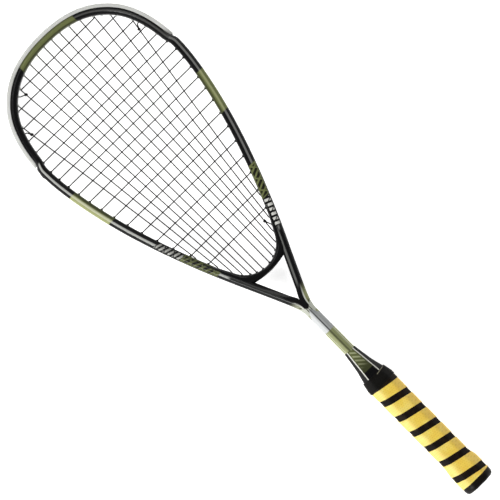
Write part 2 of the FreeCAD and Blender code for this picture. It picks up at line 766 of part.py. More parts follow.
def band_solid():
    """The raised layer of the grip: a helical band over the base layer."""
    under = size("fit") + size("grip_thickness")

    def sleeve(extra):
        wires = []
        for along, grown in ((size("grip_bottom") + 0.1, size("cap_flare") / 2 + under),
                             (size("cap_straight"), size("cap_flare") / 2 + under),
                             (size("cap_length") + 1, under), (size("grip_top") - 0.1, under)):
            half_x = size("handle_width") / 2 + grown + extra
            half_z = size("handle_depth") / 2 + grown + extra
            cut = size("handle_bevel") + 0.6 * (grown + extra)
            quarter = [(half_x - cut, half_z), (half_x, half_z - cut)]
            ring = quarter + [(x, -z) for x, z in reversed(quarter)]
            ring += [(-x, -z) for x, z in quarter] + [(-x, z) for x, z in reversed(quarter)]
            wires.append(Part.makePolygon([Vector(x, along, z) for x, z in ring + ring[:1]]))
        return Part.makeLoft(wires, True, True)

    shell = sleeve(size("band_thickness")).cut(sleeve(0.0))
    pitch, width = size("band_pitch"), size("band_width")
    turns = math.ceil(size("grip_top") / pitch) + 2
    inner, outer = 0.3 * size("handle_width"), size("handle_width")
    path = Part.makeHelix(pitch, pitch * turns, 0.6 * size("handle_width"), 0, True)
    corners = [Vector(inner, 0, 0), Vector(inner, 0, width), Vector(outer, 0, width), Vector(outer, 0, 0)]
    ribbon = Part.Wire(path.Edges).makePipeShell([Part.makePolygon(corners + corners[:1])], True, True)
    ribbon.rotate(Vector(0, 0, 0), Vector(1, 0, 0), -90)
    ribbon.translate(Vector(0, size("band_start") - 2 * pitch, 0))
    return shell.common(ribbon)


# ---------------------------------------------------------------- frame and its fittings

CHANNEL_HALF = 2.25
SHARED_BARREL = 2.1
SHARED_BORE = 1.4
FLARE = 0.5
FLARE_DEPTH = 1.8
LIFT_OFF = 7.0
TRIM_SKIN = 0.04
BORE_BEFORE = 4.0
BORE_AFTER = 6.0
BARREL_PAST = 0.2
WING = 0.37
WING_SHOULDER = 0.7
WING_FALL = 0.25


def right_half_space():
    reach = 2 * size("racket_length")
    return Part.makeBox(reach, 2 * reach, reach, Vector(0, -reach / 2, -reach / 2))


def both_sides(right):
    return right.fuse(right.mirror(Vector(0, 0, 0), Vector(1, 0, 0)))


def joined(solids):
    return solids[0].fuse(solids[1:])


def frame_solids():
    """The hollow frame without holes, and its outer form without the hollow."""
    outer = half_tube(0.0, 0.0)
    hollow = half_tube(size("wall"), WEB)
    shell = joined([skin.cut(space) for skin, space in zip(outer, hollow)]).common(right_half_space())
    blank = joined(outer).common(right_half_space())
    return both_sides(shell), both_sides(blank)


def groove_loft(shares, half_profile, past_tip):
    """A moulding that runs round the groove: half_profile(step share) gives its upper half."""
    wires = []
    for share in shares:
        point, normal, stepped = station(share)
        start = tube_outer(stepped)
        profile = [(start + inside, height) for inside, height in half_profile(start)]
        wires.append(section(point, normal, profile + [(i, -z) for i, z in reversed(profile)]))
    if past_tip:
        point, normal, stepped = station(1.0)
        start = tube_outer(stepped)
        profile = [(start + inside, height) for inside, height in half_profile(start)]
        wires.append(section(point - Vector(TIP_RUN, 0, 0), normal,
                             profile + [(i, -z) for i, z in reversed(profile)]))
    return Part.makeLoft(wires, True, False)


def flange_profile(start):
    tall = size("groove_half") - size("fit")
    return [(size("groove_depth") - size("fit"), tall), (size("groove_depth") - size("flange"), tall)]


def bumper_profile(start):
    tall = size("groove_half") - size("fit")
    wing = size("beam_height") * WING
    return [(size("groove_depth") - size("fit"), tall), (-size("fit"), tall), (-size("fit"), wing),
            (-WING_SHOULDER * start, wing), (-start, wing - WING_FALL * start), (-start, CHANNEL_HALF),
            (size("groove_depth") - size("flange"), CHANNEL_HALF)]


def string_space_profile(start):
    """The room over a flange where the strings run, to trim the barrels by."""
    floor = size("groove_depth") - size("flange") - TRIM_SKIN
    return [(floor, CHANNEL_HALF - TRIM_SKIN), (-LIFT_OFF, CHANNEL_HALF - TRIM_SKIN)]


def is_shared(spot):
    return spot.get("shared", False)


def rod(spot, radius, before, after):
    """A cylinder along a hole, from before its mouth to after its exit."""
    start = spot["mouth"] - spot["axis"] * before
    length = (spot["exit"] - spot["mouth"]).Length + before + after
    if is_shared(spot):
        start = Vector(start.x, start.y, 0)
    return Part.makeCylinder(radius, length, start, spot["axis"])


def barrel(spot):
    return rod(spot, SHARED_BARREL if is_shared(spot) else size("barrel_radius"), 0.0, BARREL_PAST)


def bore(spot):
    """The room for the string: a bore that is wider at its outer mouth, where the string turns."""
    radius = SHARED_BORE if is_shared(spot) else size("bore_radius")
    straight = rod(spot, radius, BORE_BEFORE, BORE_AFTER)
    length = (spot["exit"] - spot["mouth"]).Length
    flare = rod(spot, radius + FLARE, FLARE_DEPTH - length, BORE_AFTER)
    return straight.fuse(flare)


def clearance_hole(spot):
    radius = SHARED_BARREL if is_shared(spot) else size("barrel_radius")
    return rod(spot, radius + size("fit"), BORE_BEFORE, BORE_AFTER)


def fitted(flange, spots, space):
    """A grommet moulding: its flange and barrels, open for the strings."""
    solid = joined([flange] + [barrel(spot) for spot in spots]).cut(space)
    solid = solid.cut([bore(spot) for spot in spots])
    return max(solid.Solids, key=lambda piece: piece.Volume)


# ---------------------------------------------------------------- throat bridge

HORN_REACH = 14.0
BRIDGE_WINDOW = 20.0
WINDOW_HEIGHT = 20.0
RING_PAST = 6.0


def make_bridge_blank():
    """The bridge before it is fitted between the arms: an arc above, a shallower arc below."""
    blank = body("throat_bridge_blank")
    sketch = blank.newObject("Sketcher::SketchObject", "bridge_outline")
    sketch.AttachmentSupport = (plane_of(blank, "XY_Plane"), "")
    sketch.MapMode = "FlatFace"
    turn_off = math.radians(BRIDGE_TURN_OFF)
    radius, centre = size("bridge_radius"), BRIDGE_CENTRE
    end_x, end_y = radius * math.sin(turn_off), centre - radius * math.cos(turn_off)
    wide = end_x + HORN_REACH
    high = end_y + HORN_REACH * math.tan(turn_off)
    low = bridge_under(wide)
    under = size("bridge_under_radius")
    under_centre = centre - radius - size("bridge_width") + under
    sketch.addGeometry(Part.ArcOfCircle(Part.Circle(Vector(0, centre, 0), Vector(0, 0, 1), radius),
                                        math.radians(270) - turn_off, math.radians(270) + turn_off))
    sketch.addGeometry(Part.LineSegment(Vector(end_x, end_y, 0), Vector(wide, high, 0)))
    sketch.addGeometry(Part.LineSegment(Vector(wide, high, 0), Vector(wide, low, 0)))
    sweep = math.asin(wide / under)
    sketch.addGeometry(Part.ArcOfCircle(Part.Circle(Vector(0, under_centre, 0), Vector(0, 0, 1), under),
                                        math.radians(270) - sweep, math.radians(270) + sweep))
    sketch.addGeometry(Part.LineSegment(Vector(-wide, low, 0), Vector(-wide, high, 0)))
    sketch.addGeometry(Part.LineSegment(Vector(-wide, high, 0), Vector(-end_x, end_y, 0)))
    for first, first_end, second, second_end in ((1, 2, 2, 1), (2, 2, 3, 2), (3, 1, 4, 1), (4, 2, 5, 1),
                                                 (5, 2, 0, 1)):
        sketch.addConstraint(Sketcher.Constraint("Coincident", first, first_end, second, second_end))
    sketch.addConstraint(Sketcher.Constraint("Tangent", 0, 2, 1, 1))
    sketch.addConstraint(Sketcher.Constraint("Symmetric", 0, 1, 0, 2, -2))
    sketch.addConstraint(Sketcher.Constraint("Symmetric", 1, 2, 5, 1, -2))
    sketch.addConstraint(Sketcher.Constraint("Symmetric", 3, 1, 3, 2, -2))
    for kind, places, value, words in (
            ("Radius", (0,), radius, "sizes.bridge_radius"),
            ("Radius", (3,), under, "sizes.bridge_under_radius"),
            ("DistanceY", (-1, 1, 0, 3), centre, "%s" % centre),
            ("DistanceY", (-1, 1, 3, 3), under_centre,
             "%s - sizes.bridge_radius - sizes.bridge_width + sizes.bridge_under_radius" % centre),
            ("DistanceX", (0, 1, 0, 2), 2 * end_x,
             "2 * sizes.bridge_radius * sin(%s deg)" % BRIDGE_TURN_OFF),
            ("DistanceX", (5, 1, 1, 2), 2 * wide,
             "2 * sizes.bridge_radius * sin(%s deg) + %s" % (BRIDGE_TURN_OFF, 2 * HORN_REACH)),
            ("DistanceX", (3, 1, 3, 2), 2 * wide,
             "2 * sizes.bridge_radius * sin(%s deg) + %s" % (BRIDGE_TURN_OFF, 2 * HORN_REACH))):
        index = sketch.addConstraint(Sketcher.Constraint(kind, *places, value))
        sketch.setExpression("Constraints[%d]" % index, words)
    pad = blank.newObject("PartDesign::Pad", "bridge_pad")
    pad.Profile = sketch
    pad.Midplane = True
    pad.setExpression("Length", "sizes.bridge_depth")
    return blank


def bridge_ring(outside, inside, half):
    """A ring about the centre of the bridge's lower arc, for its groove and grommet strip."""
    centre = Vector(0, bridge_under(0) + size("bridge_under_radius"), -half)
    outer = Part.makeCylinder(size("bridge_under_radius") + outside, 2 * half, centre)
    return outer.cut(Part.makeCylinder(size("bridge_under_radius") + inside, 2 * half, centre))


def bridge_window(reach):
    """The stretch of the bridge's underside that carries grommets."""
    return Part.makeBox(2 * reach, WINDOW_HEIGHT, WINDOW_HEIGHT,
                        Vector(-reach, bridge_under(0) - RING_PAST, -WINDOW_HEIGHT / 2))


# ---------------------------------------------------------------- knots and plugs

def knot(centre, heading):
    """A tie-off: turns of string round a main, as a short sleeve with the main through it."""
    start = centre - heading * (KNOT_LENGTH / 2)
    sleeve = Part.makeCylinder(KNOT_RADIUS, KNOT_LENGTH, start, heading)
    return sleeve.cut(Part.makeCylinder(size("string_diameter") / 2 + KNOT_GAP, KNOT_LENGTH, start, heading))


def tail_end(centre, spot):
    """Where a tail meets the knot round a main."""
    target = Vector(centre.x, centre.y, spot["height"])
    return target + (spot["bend"] - target).normalize() * (KNOT_RADIUS + KNOT_GAP)


def knot_place(number, along, side):
    place = main_line(number, along)
    heading = main_heading(number)
    return (Vector(place.x * side, place.y, -LEVEL), Vector(heading.x * side, heading.y, 0))


def make_strings():
    columns = [(flipped(TOPS[n]), flipped(BOTTOMS[n])) for n in reversed(range(MAINS_A_SIDE))]
    columns += list(zip(TOPS, BOTTOMS))
    passes = [(top, low) if n % 2 == 0 else (low, top) for n, (top, low) in enumerate(columns)]
    main_knots = [knot_place(MAINS_A_SIDE, MAIN_KNOT, side) for side in (-1, 1)]
    ties = [flipped(MAIN_TIE), MAIN_TIE]
    ends = [tail_end(place[0], tie) for place, tie in zip(main_knots, ties)]
    points, radii = string_route(passes, ties[0], ties[1], ends[0], ends[1])
    mains, main_length = cord(points, radii, size("string_diameter"))

    passes = [(flipped(spot), spot) if n % 2 == 0 else (spot, flipped(spot))
              for n, spot in enumerate(CROSSES)]
    cross_knots = [knot_place(5, FIRST_CROSS_KNOT, -1), knot_place(5, LAST_CROSS_KNOT, 1)]
    ties = [flipped(CROSS_TIE), LAST_TIE]
    ends = [tail_end(place[0], tie) for place, tie in zip(cross_knots, ties)]
    points, radii = string_route(passes, ties[0], ties[1], ends[0], ends[1])
    crosses, cross_length = cord(points, radii, size("string_diameter"))
    print("main string %.0f mm, cross string %.0f mm, bends %.1f, %.1f and %.1f mm"
          % (main_length, cross_length, LOOP_BEND, TIE_BEND, MOUTH_BEND))
    return (mains, crosses, Part.makeCompound([knot(*place) for place in main_knots]),
            Part.makeCompound([knot(*place) for place in cross_knots]))


def make_plugs():
    hollow = shaft_half(size("wall") + size("fit"), WEB + size("fit")).common(right_half_space())
    wide = 2 * size("beam_height")
    slab = Part.makeBox(wide, size("plug_length"), wide, Vector(-wide / 2, size("frame_bottom"), -wide / 2))
    right = hollow.common(slab)
    return Part.makeCompound([right, right.mirror(Vector(0, 0, 0), Vector(1, 0, 0))])


# ---------------------------------------------------------------- assembly

# Share of the outline's length between a moulding's end and its neighbour.
END_GAP = 0.002


def build():
    core, cap = make_handle_core(), make_butt_cap()
    make_base_grip()
    make_finishing_tape()
    make_grip_collar()
    staples = make_staples()
    bridge_blank = make_bridge_blank()
    cut_off("handle_core", core, staples)
    cut_off("butt_cap", cap, staples)
    doc.recompute()
    feature("grip_band", band_solid())

    frame, frame_blank = frame_solids()
    strip_spots = BOTTOMS[BRIDGE_MAINS:] + [LAST_TIE]
    bumper_spots = list(TOPS) + [MAIN_TIE, CROSS_TIE]
    for number, spot in enumerate(CROSSES, start=1):
        if number not in SHARED:
            (bumper_spots if spot["exit"].y > BUMPER_END else strip_spots).append(spot)
    bridge_spots = BOTTOMS[:BRIDGE_MAINS] + [flipped(spot) for spot in BOTTOMS[:BRIDGE_MAINS]]

    frame_holes = [clearance_hole(spot) for spot in strip_spots + bumper_spots]
    frame_holes += [clearance_hole(flipped(spot)) for spot in strip_spots + bumper_spots]
    feature("frame", frame.cut(frame_holes))

    groove = bridge_ring(RING_PAST, -size("groove_depth"), size("groove_half"))
    groove = groove.common(bridge_window(BRIDGE_WINDOW))
    bridge_cuts = [frame_blank, groove] + [clearance_hole(spot) for spot in bridge_spots]
    bridge_cuts += [clearance_hole(spot) for spot in strip_spots[:3] + [LAST_TIE]]
    bridge_cuts += [clearance_hole(flipped(spot)) for spot in strip_spots[:3] + [LAST_TIE]]
    bridge = bridge_blank.Shape.cut(bridge_cuts)
    feature("throat_bridge", max(bridge.Solids, key=lambda solid: solid.Volume))

    half = size("groove_half") - size("fit")
    flange = bridge_ring(-size("groove_depth") + size("flange"), -size("groove_depth") + size("fit"), half)
    flange = flange.common(bridge_window(BRIDGE_WINDOW - 4 * size("fit")))
    space = bridge_ring(RING_PAST, -size("groove_depth") + size("flange") + TRIM_SKIN, CHANNEL_HALF)
    feature("bridge_grommet_strip", fitted(flange, bridge_spots, space))

    end = share_at(BUMPER_END)
    space = groove_loft(HEAD_SHARES, string_space_profile, True)
    strip_shares = [share for share in HEAD_SHARES if share < end - 2 * END_GAP] + [end - END_GAP]
    strip_shares[0] += END_GAP
    strip = fitted(groove_loft(strip_shares, flange_profile, False), strip_spots, space)
    feature("side_grommet_strip_right", strip)
    feature("side_grommet_strip_left", strip.mirror(Vector(0, 0, 0), Vector(1, 0, 0)))

    bumper_shares = [end] + [share for share in HEAD_SHARES if share > end + 2 * END_GAP]
    bumper = fitted(groove_loft(bumper_shares, bumper_profile, True), bumper_spots, space)
    feature("bumper_guard", both_sides(bumper.common(right_half_space())))

    mains, crosses, main_knots, cross_knots = make_strings()
    feature("main_string", mains)
    feature("cross_string", crosses)
    feature("main_string_knots", main_knots)
    feature("cross_string_knots", cross_knots)
    feature("shaft_plugs", make_plugs())


NODES = ["frame", "throat_bridge", "shaft_plugs", "bumper_guard", "side_grommet_strip_left",
         "side_grommet_strip_right", "bridge_grommet_strip", "main_string", "cross_string",
         "main_string_knots", "cross_string_knots", "handle_core", "butt_cap", "butt_cap_staples",
         "base_grip", "grip_band", "finishing_tape", "grip_collar"]

build()
doc.recompute()
failed = [item.Label for item in doc.Objects if "Invalid" in item.State or "Error" in item.State]
if failed:
    raise RuntimeError("these objects failed: " + ", ".join(failed))
shapes = {}
for name in NODES:
    shape = doc.getObjectsByLabel(name)[0].Shape
    if shape.isNull() or not shape.isValid() or not shape.Solids:
        raise RuntimeError(name + " has no valid solid")
    shapes[name] = shape
os.makedirs("parts", exist_ok=True)
for name, shape in shapes.items():
    shape.exportStep("parts/%s.step" % name)
    print("%-26s %2d solid(s) %9.1f mm3" % (name, len(shape.Solids), shape.Volume))
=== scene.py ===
import json
import math
from contextlib import contextmanager

import bmesh
import bpy
import numpy as np
from mathutils import Matrix, Vector

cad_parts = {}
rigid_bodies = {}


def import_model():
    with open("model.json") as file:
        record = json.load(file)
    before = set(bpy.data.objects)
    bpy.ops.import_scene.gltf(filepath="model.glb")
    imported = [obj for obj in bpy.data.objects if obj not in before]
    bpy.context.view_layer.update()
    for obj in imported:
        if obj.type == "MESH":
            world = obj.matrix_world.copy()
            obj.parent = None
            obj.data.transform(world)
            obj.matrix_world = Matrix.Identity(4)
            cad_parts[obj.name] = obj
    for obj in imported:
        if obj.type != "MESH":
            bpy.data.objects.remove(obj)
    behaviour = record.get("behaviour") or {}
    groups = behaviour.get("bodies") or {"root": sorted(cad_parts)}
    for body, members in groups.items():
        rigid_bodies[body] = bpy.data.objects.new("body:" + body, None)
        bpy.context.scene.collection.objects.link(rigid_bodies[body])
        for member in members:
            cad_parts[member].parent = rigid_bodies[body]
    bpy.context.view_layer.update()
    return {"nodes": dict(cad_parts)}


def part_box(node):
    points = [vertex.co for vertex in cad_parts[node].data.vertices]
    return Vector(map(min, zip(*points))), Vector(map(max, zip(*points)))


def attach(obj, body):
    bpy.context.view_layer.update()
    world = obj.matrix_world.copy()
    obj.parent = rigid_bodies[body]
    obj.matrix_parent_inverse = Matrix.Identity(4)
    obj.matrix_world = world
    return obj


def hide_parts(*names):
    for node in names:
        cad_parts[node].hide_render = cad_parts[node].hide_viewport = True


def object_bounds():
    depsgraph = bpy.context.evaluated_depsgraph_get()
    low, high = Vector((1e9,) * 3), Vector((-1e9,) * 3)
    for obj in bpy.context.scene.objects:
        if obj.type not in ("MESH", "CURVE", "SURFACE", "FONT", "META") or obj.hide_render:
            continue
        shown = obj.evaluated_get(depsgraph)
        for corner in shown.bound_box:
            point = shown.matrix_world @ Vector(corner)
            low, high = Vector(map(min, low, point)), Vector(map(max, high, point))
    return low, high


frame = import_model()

# Squash racket lying flat: +Y runs from the butt to the tip, +X across the head, +Z off the strings.
# Shapes are worked out in millimetres and turned into metres where a mesh is made.
MM = 0.001

# ------------------------------------------------------------------ sizes, some from the frame


def span(node):
    """The lower and upper corners of a node's box, in millimetres."""
    low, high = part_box(node)
    return low / MM, high / MM


COLLAR_LOW, COLLAR_HIGH = span("grip_collar")
TAPE_LOW, TAPE_HIGH = span("finishing_tape")
FRAME_LOW, FRAME_HIGH = span("frame")

RACKET_LENGTH = span("bumper_guard")[1].y
HALF_WIDTH = 105.6
HEAD_START = 263.0
SHAFT_HALF = 6.8
BEAM_HALF = FRAME_HIGH.z
RAIL_WIDTH = 10.0
CROWN_WIDTH = 8.0
BUMPER_HEIGHT = 4.3
STEP_START = 577.0
STEP_END = 592.0
GROOVE_HALF = 2.6
GROOVE_DEPTH = 2.0
GROOVE_START = 312.0
FLANGE = 0.8
STRING_RADIUS = 0.66
LEVEL = 0.66  # how far each set of strings lies from the middle plane
NUB = 1.0  # how far a grommet's rim stands off the inner wall
BUMPER_END = 586.0
STRIP_START = 327.0

# ------------------------------------------------------------------ outline of the head

HEAD_SHAPE = [(0.141, 0.0638), (0.283, 0.1418), (0.466, 0.2435), (0.672, 0.3735), (0.837, 0.5012),
              (0.956, 0.6312), (1.0, 0.7589), (0.915, 0.8648), (0.767, 0.9262), (0.540, 0.9712),
              (0.279, 0.9939), (0.0, 1.0)]


def smooth(low, high, value):
    """0 below low, 1 above high and an easy rise between them."""
    share = np.clip((np.asarray(value, float) - low) / (high - low), 0.0, 1.0)
    return share * share * (3.0 - 2.0 * share)


def clamped_spline(knots, values, first, last, where):
    """A cubic spline through values at knots with given end slopes, read at where."""
    count = len(knots)
    gap = np.diff(knots)
    system = np.zeros((count, count))
    right = np.zeros((count, values.shape[1]))
    rise = np.diff(values, axis=0) / gap[:, None]
    system[0, :2] = 2 * gap[0], gap[0]
    right[0] = 6 * (rise[0] - first)
    system[-1, -2:] = gap[-1], 2 * gap[-1]
    right[-1] = 6 * (last - rise[-1])
    for row in range(1, count - 1):
        system[row, row - 1:row + 2] = gap[row - 1], 2 * (gap[row - 1] + gap[row]), gap[row]
        right[row] = 6 * (rise[row] - rise[row - 1])
    bend = np.linalg.solve(system, right)
    cell = np.clip(np.searchsorted(knots, where, side="right") - 1, 0, count - 2)
    left = (knots[cell + 1] - where)[:, None]
    ahead = (where - knots[cell])[:, None]
    wide = gap[cell][:, None]
    return (bend[cell] * left ** 3 + bend[cell + 1] * ahead ** 3) / (6 * wide) \
        + (values[cell] / wide - bend[cell] * wide / 6) * left \
        + (values[cell + 1] / wide - bend[cell + 1] * wide / 6) * ahead


def head_outline():
    """The outer edge of the right half, evenly sampled: points, outward normals and lengths."""
    tall = RACKET_LENGTH - HEAD_START
    points = np.array([(SHAFT_HALF, HEAD_START)]
                      + [(x * HALF_WIDTH, HEAD_START + y * tall) for x, y in HEAD_SHAPE])
    knots = np.r_[0, np.cumsum(np.sqrt(np.hypot(*np.diff(points, axis=0).T)))]
    fine = clamped_spline(knots, points, np.array((0, 5.0)), np.array((-5.5, 0)),
                          np.linspace(0, knots[-1], 4000))
    length = np.r_[0, np.cumsum(np.hypot(*np.diff(fine, axis=0).T))]
    even = np.linspace(0, length[-1], 1601)
    points = np.stack([np.interp(even, length, fine[:, axis]) for axis in (0, 1)], axis=1)
    tangent = np.gradient(points, even, axis=0)
    tangent /= np.linalg.norm(tangent, axis=1)[:, None]
    normals = np.stack([tangent[:, 1], -tangent[:, 0]], axis=1)
    normals[-1] = (0, 1)
    normals[0] = (1, 0)
    return points, normals, even


EDGE, NORMAL, RUN = head_outline()
STEPPED = smooth(STEP_START, STEP_END, EDGE[:, 1])
OUTER = BUMPER_HEIGHT * STEPPED
WIDTH = RAIL_WIDTH + (CROWN_WIDTH - RAIL_WIDTH) * STEPPED


def station(run):
    """Edge point, normal, tube start and tube width at a length along the outline."""
    point = np.array([np.interp(run, RUN, EDGE[:, axis]) for axis in (0, 1)])
    normal = np.array([np.interp(run, RUN, NORMAL[:, axis]) for axis in (0, 1)])
    normal /= np.linalg.norm(normal)
    return point, normal, np.interp(run, RUN, OUTER), np.interp(run, RUN, WIDTH)


def on_tube(run, inside):
    """A point measured inwards from the outer wall of the tube."""
    point, normal, start, _ = station(run)
    return point - normal * (start + inside)


def run_at(height):
    """Length along the outline where it reaches a height above the butt."""
    return float(np.interp(height, EDGE[:, 1], RUN))


def curve_inside(depth):
    """The whole line at one depth inside the outer wall of the tube."""
    return EDGE - NORMAL * (OUTER + depth)[:, None]


FLANGE_LINE = curve_inside(np.full(len(RUN), GROOVE_DEPTH - FLANGE))
INNER_LINE = curve_inside(WIDTH)


def crossing(start, heading, line):
    """Length along the outline where a ray from inside the head meets a line round it."""
    away = line - start
    side = heading[0] * away[:, 1] - heading[1] * away[:, 0]
    ahead = away @ heading > 0
    place = np.nonzero((side[:-1] <= 0) & (side[1:] > 0) & ahead[:-1])[0]
    cell = place[-1] if len(place) else len(RUN) - 2
    share = side[cell] / (side[cell] - side[cell + 1])
    return RUN[cell] + share * (RUN[cell + 1] - RUN[cell])


# ------------------------------------------------------------------ string pattern

MAINS_A_SIDE = 7
CROSS_COUNT = 19
MAIN_LEVEL = 571.0
TOP_CROSS = 659.5
TIGHTEST_CROSS = 7
HOLE_TILT = math.radians(35)
BEND_STANDOFF = 2.0
BRIDGE_RADIUS = 34.0
BRIDGE_CENTRE = 367.0
BRIDGE_WIDTH = 7.0
BRIDGE_UNDER = 86.0
BRIDGE_TURN_OFF = math.radians(62)
BRIDGE_MAINS = 3
HORN_MAINS = 5
SHARED = {1: 5, 3: 7}  # cross strings that leave through a main string's hole
TIE_STEP = 14.0
WELL_INSIDE = 34.0


def main_place(number):
    """How far main string number, counted outwards, lies from the axis at MAIN_LEVEL."""
    return 5.5 + sum(10.3 + 0.09 * step * step for step in range(1, number))


def main_slope(number):
    """How much a main string fans out for each millimetre upwards."""
    return 0.148 * ((number - 0.5) / 6.5) ** 1.6


def cross_place(number):
    """The height of cross string number, counted downwards."""
    steps = (12.2 + (0.73 if step < TIGHTEST_CROSS else 0.69) * abs(step - TIGHTEST_CROSS)
             for step in range(1, number))
    return TOP_CROSS - sum(steps)


def unit(vector):
    vector = np.asarray(vector, float)
    return vector / np.linalg.norm(vector)


def turned(vector, angle):
    cos, sin = math.cos(angle), math.sin(angle)
    return np.array((vector[0] * cos - vector[1] * sin, vector[0] * sin + vector[1] * cos))


def main_point(number, height):
    return np.array((main_place(number) + main_slope(number) * (height - MAIN_LEVEL), height))


def bridge_top(across):
    """Height of the bridge's upper face: an arc that runs out into straight horns."""
    across = abs(across)
    edge = BRIDGE_RADIUS * math.sin(BRIDGE_TURN_OFF)
    if across < edge:
        return BRIDGE_CENTRE - math.sqrt(BRIDGE_RADIUS ** 2 - across ** 2)
    return (BRIDGE_CENTRE - BRIDGE_RADIUS * math.cos(BRIDGE_TURN_OFF)
            + (across - edge) * math.tan(BRIDGE_TURN_OFF))


def bridge_under(across):
    low = BRIDGE_CENTRE - BRIDGE_RADIUS - BRIDGE_WIDTH
    return low + BRIDGE_UNDER - math.sqrt(BRIDGE_UNDER ** 2 - across ** 2)


def bridge_crossing(number):
    height = BRIDGE_CENTRE
    for _ in range(20):
        height = bridge_top(main_point(number, height)[0])
    return main_point(number, height)


def spot(bend, mouth, axis, run, exit_point, level):
    """A place where a string passes through the frame, on the right-hand side."""
    return {"bend": bend, "mouth": mouth, "axis": axis, "run": run, "exit": exit_point,
            "level": level, "side": 1, "shared": False}


def hole(start, heading, level, wall=None):
    """A grommet for a string that reaches the frame along heading."""
    if wall is None:
        run = crossing(start, heading, INNER_LINE)
        wall = on_tube(run, station(run)[3])
    normal = station(crossing(start, heading, FLANGE_LINE))[1]
    lean = math.atan2(normal[0] * heading[1] - normal[1] * heading[0], normal @ heading)
    axis = turned(normal, max(-HOLE_TILT, min(HOLE_TILT, lean)))
    bend = wall - heading * BEND_STANDOFF
    run = crossing(bend, axis, FLANGE_LINE)
    return spot(bend, bend + axis * (BEND_STANDOFF - NUB), axis, run,
                on_tube(run, GROOVE_DEPTH - FLANGE), level)


def bridge_hole(number):
    heading = -unit((main_slope(number), 1))
    top = bridge_crossing(number)
    low = bridge_under(top[0]) + GROOVE_DEPTH - FLANGE
    return spot(top - heading * BEND_STANDOFF, top - heading * NUB, heading, None,
                top + heading * ((top[1] - low) / -heading[1]), -LEVEL)


def flipped(item):
    """The same place on the other side."""
    copy = dict(item, side=-item["side"])
    for key in ("bend", "mouth", "axis", "exit"):
        copy[key] = item[key] * (-1, 1)
    return copy


def tie_off(run, axis, level):
    """The hole through which a string's end comes back inside to be knotted."""
    exit_point = on_tube(run, GROOVE_DEPTH - FLANGE)
    wall_run = crossing(exit_point - axis * WELL_INSIDE, axis, INNER_LINE)
    mouth = on_tube(wall_run, station(wall_run)[3]) - axis * NUB
    return spot(mouth - axis, mouth, axis, run, exit_point, level)


def lay_out_holes():
    tops, lows = [], []
    for number in range(1, MAINS_A_SIDE + 1):
        heading = unit((main_slope(number), 1))
        middle = main_point(number, MAIN_LEVEL)
        tops.append(hole(middle, heading, -LEVEL))
        if number <= BRIDGE_MAINS:
            lows.append(bridge_hole(number))
        else:
            wall = bridge_crossing(number) if number <= HORN_MAINS else None
            lows.append(hole(middle, -heading, -LEVEL, wall))
    crosses = []
    for number in range(1, CROSS_COUNT + 1):
        if number in SHARED:
            shared = tops[SHARED[number] - 1]
            shared["shared"] = True
            crosses.append(dict(shared, level=LEVEL))
        else:
            crosses.append(hole(np.array((0.0, cross_place(number))), np.array((1.0, 0.0)), LEVEL))
    return tops, lows, crosses


def tie_below(top, level):
    run = top["run"] - TIE_STEP
    return tie_off(run, station(run)[1], level)


TOPS, LOWS, CROSSES = lay_out_holes()
MAIN_TIE = tie_below(TOPS[6], -LEVEL)
CROSS_TIE = tie_below(TOPS[4], LEVEL)
LAST_TIE = tie_off((LOWS[4]["run"] + LOWS[5]["run"]) / 2, LOWS[4]["axis"], LEVEL)

# ------------------------------------------------------------------ mesh helpers


def new_object(name, points, faces, uv=None):
    """A mesh object from points in millimetres; uv gives one pair for each point."""
    mesh = bpy.data.meshes.new(name)
    mesh.from_pydata([tuple(c * MM for c in point) for point in points], [], faces)
    if uv is not None:
        layer = mesh.uv_layers.new(name="paint")
        for loop in mesh.loops:
            layer.data[loop.index].uv = uv[loop.vertex_index]
    mesh.validate()
    item = bpy.data.objects.new(name, mesh)
    bpy.context.scene.collection.objects.link(item)
    return item


@contextmanager
def editing(item):
    """Opens an object's mesh for editing and writes it back."""
    work = bmesh.new()
    work.from_mesh(item.data)
    yield work
    work.to_mesh(item.data)
    work.free()


def tidy(item, merge=0.00001):
    """Joins doubled points, points the faces outwards and shades the mesh smooth."""
    with editing(item) as work:
        bmesh.ops.remove_doubles(work, verts=work.verts, dist=merge)
        loose = [vert for vert in work.verts if not vert.link_faces]
        bmesh.ops.delete(work, geom=loose, context="VERTS")
        bmesh.ops.recalc_face_normals(work, faces=work.faces)
        for face in work.faces:
            face.smooth = True
    return item


def crisp(item, angle=40):
    """Marks the edges sharper than angle, so that flats stay flat."""
    limit = math.radians(angle)
    with editing(item) as work:
        for edge in work.edges:
            edge.smooth = not (len(edge.link_faces) == 2 and edge.calc_face_angle(0) > limit)
    return item


def flat_facets(item):
    """Lets large faces set the normals, so that rounded corners do not shade the flats."""
    weigh = item.modifiers.new("weighted normals", "WEIGHTED_NORMAL")
    weigh.weight = 50
    weigh.keep_sharp = True
    return item


def grid_faces(rows, columns, closed=False):
    """Quads of a grid of points stored row by row; closed joins the last column to the first."""
    faces = []
    for row in range(rows - 1):
        for column in range(columns if closed else columns - 1):
            after = (column + 1) % columns
            faces.append((row * columns + column, row * columns + after,
                          (row + 1) * columns + after, (row + 1) * columns + column))
    return faces


def skin(rings, last=True):
    """Points and faces of a skin through rings, closed at its first ring and, with last, its last."""
    columns = len(rings[0])
    points = [point for ring in rings for point in ring]
    faces = grid_faces(len(rings), columns, True)
    faces.append(tuple(range(columns))[::-1])
    if last:
        faces.append(tuple(len(points) - columns + index for index in range(columns)))
    return points, faces


def hoop(rings):
    """Points and faces of a skin through rings that joins its last ring to its first."""
    columns = len(rings[0])
    points = [point for ring in rings for point in ring]
    faces = grid_faces(len(rings), columns, True)
    base = len(points) - columns
    faces += [(base + index, base + (index + 1) % columns, (index + 1) % columns, index)
              for index in range(columns)]
    return points, faces


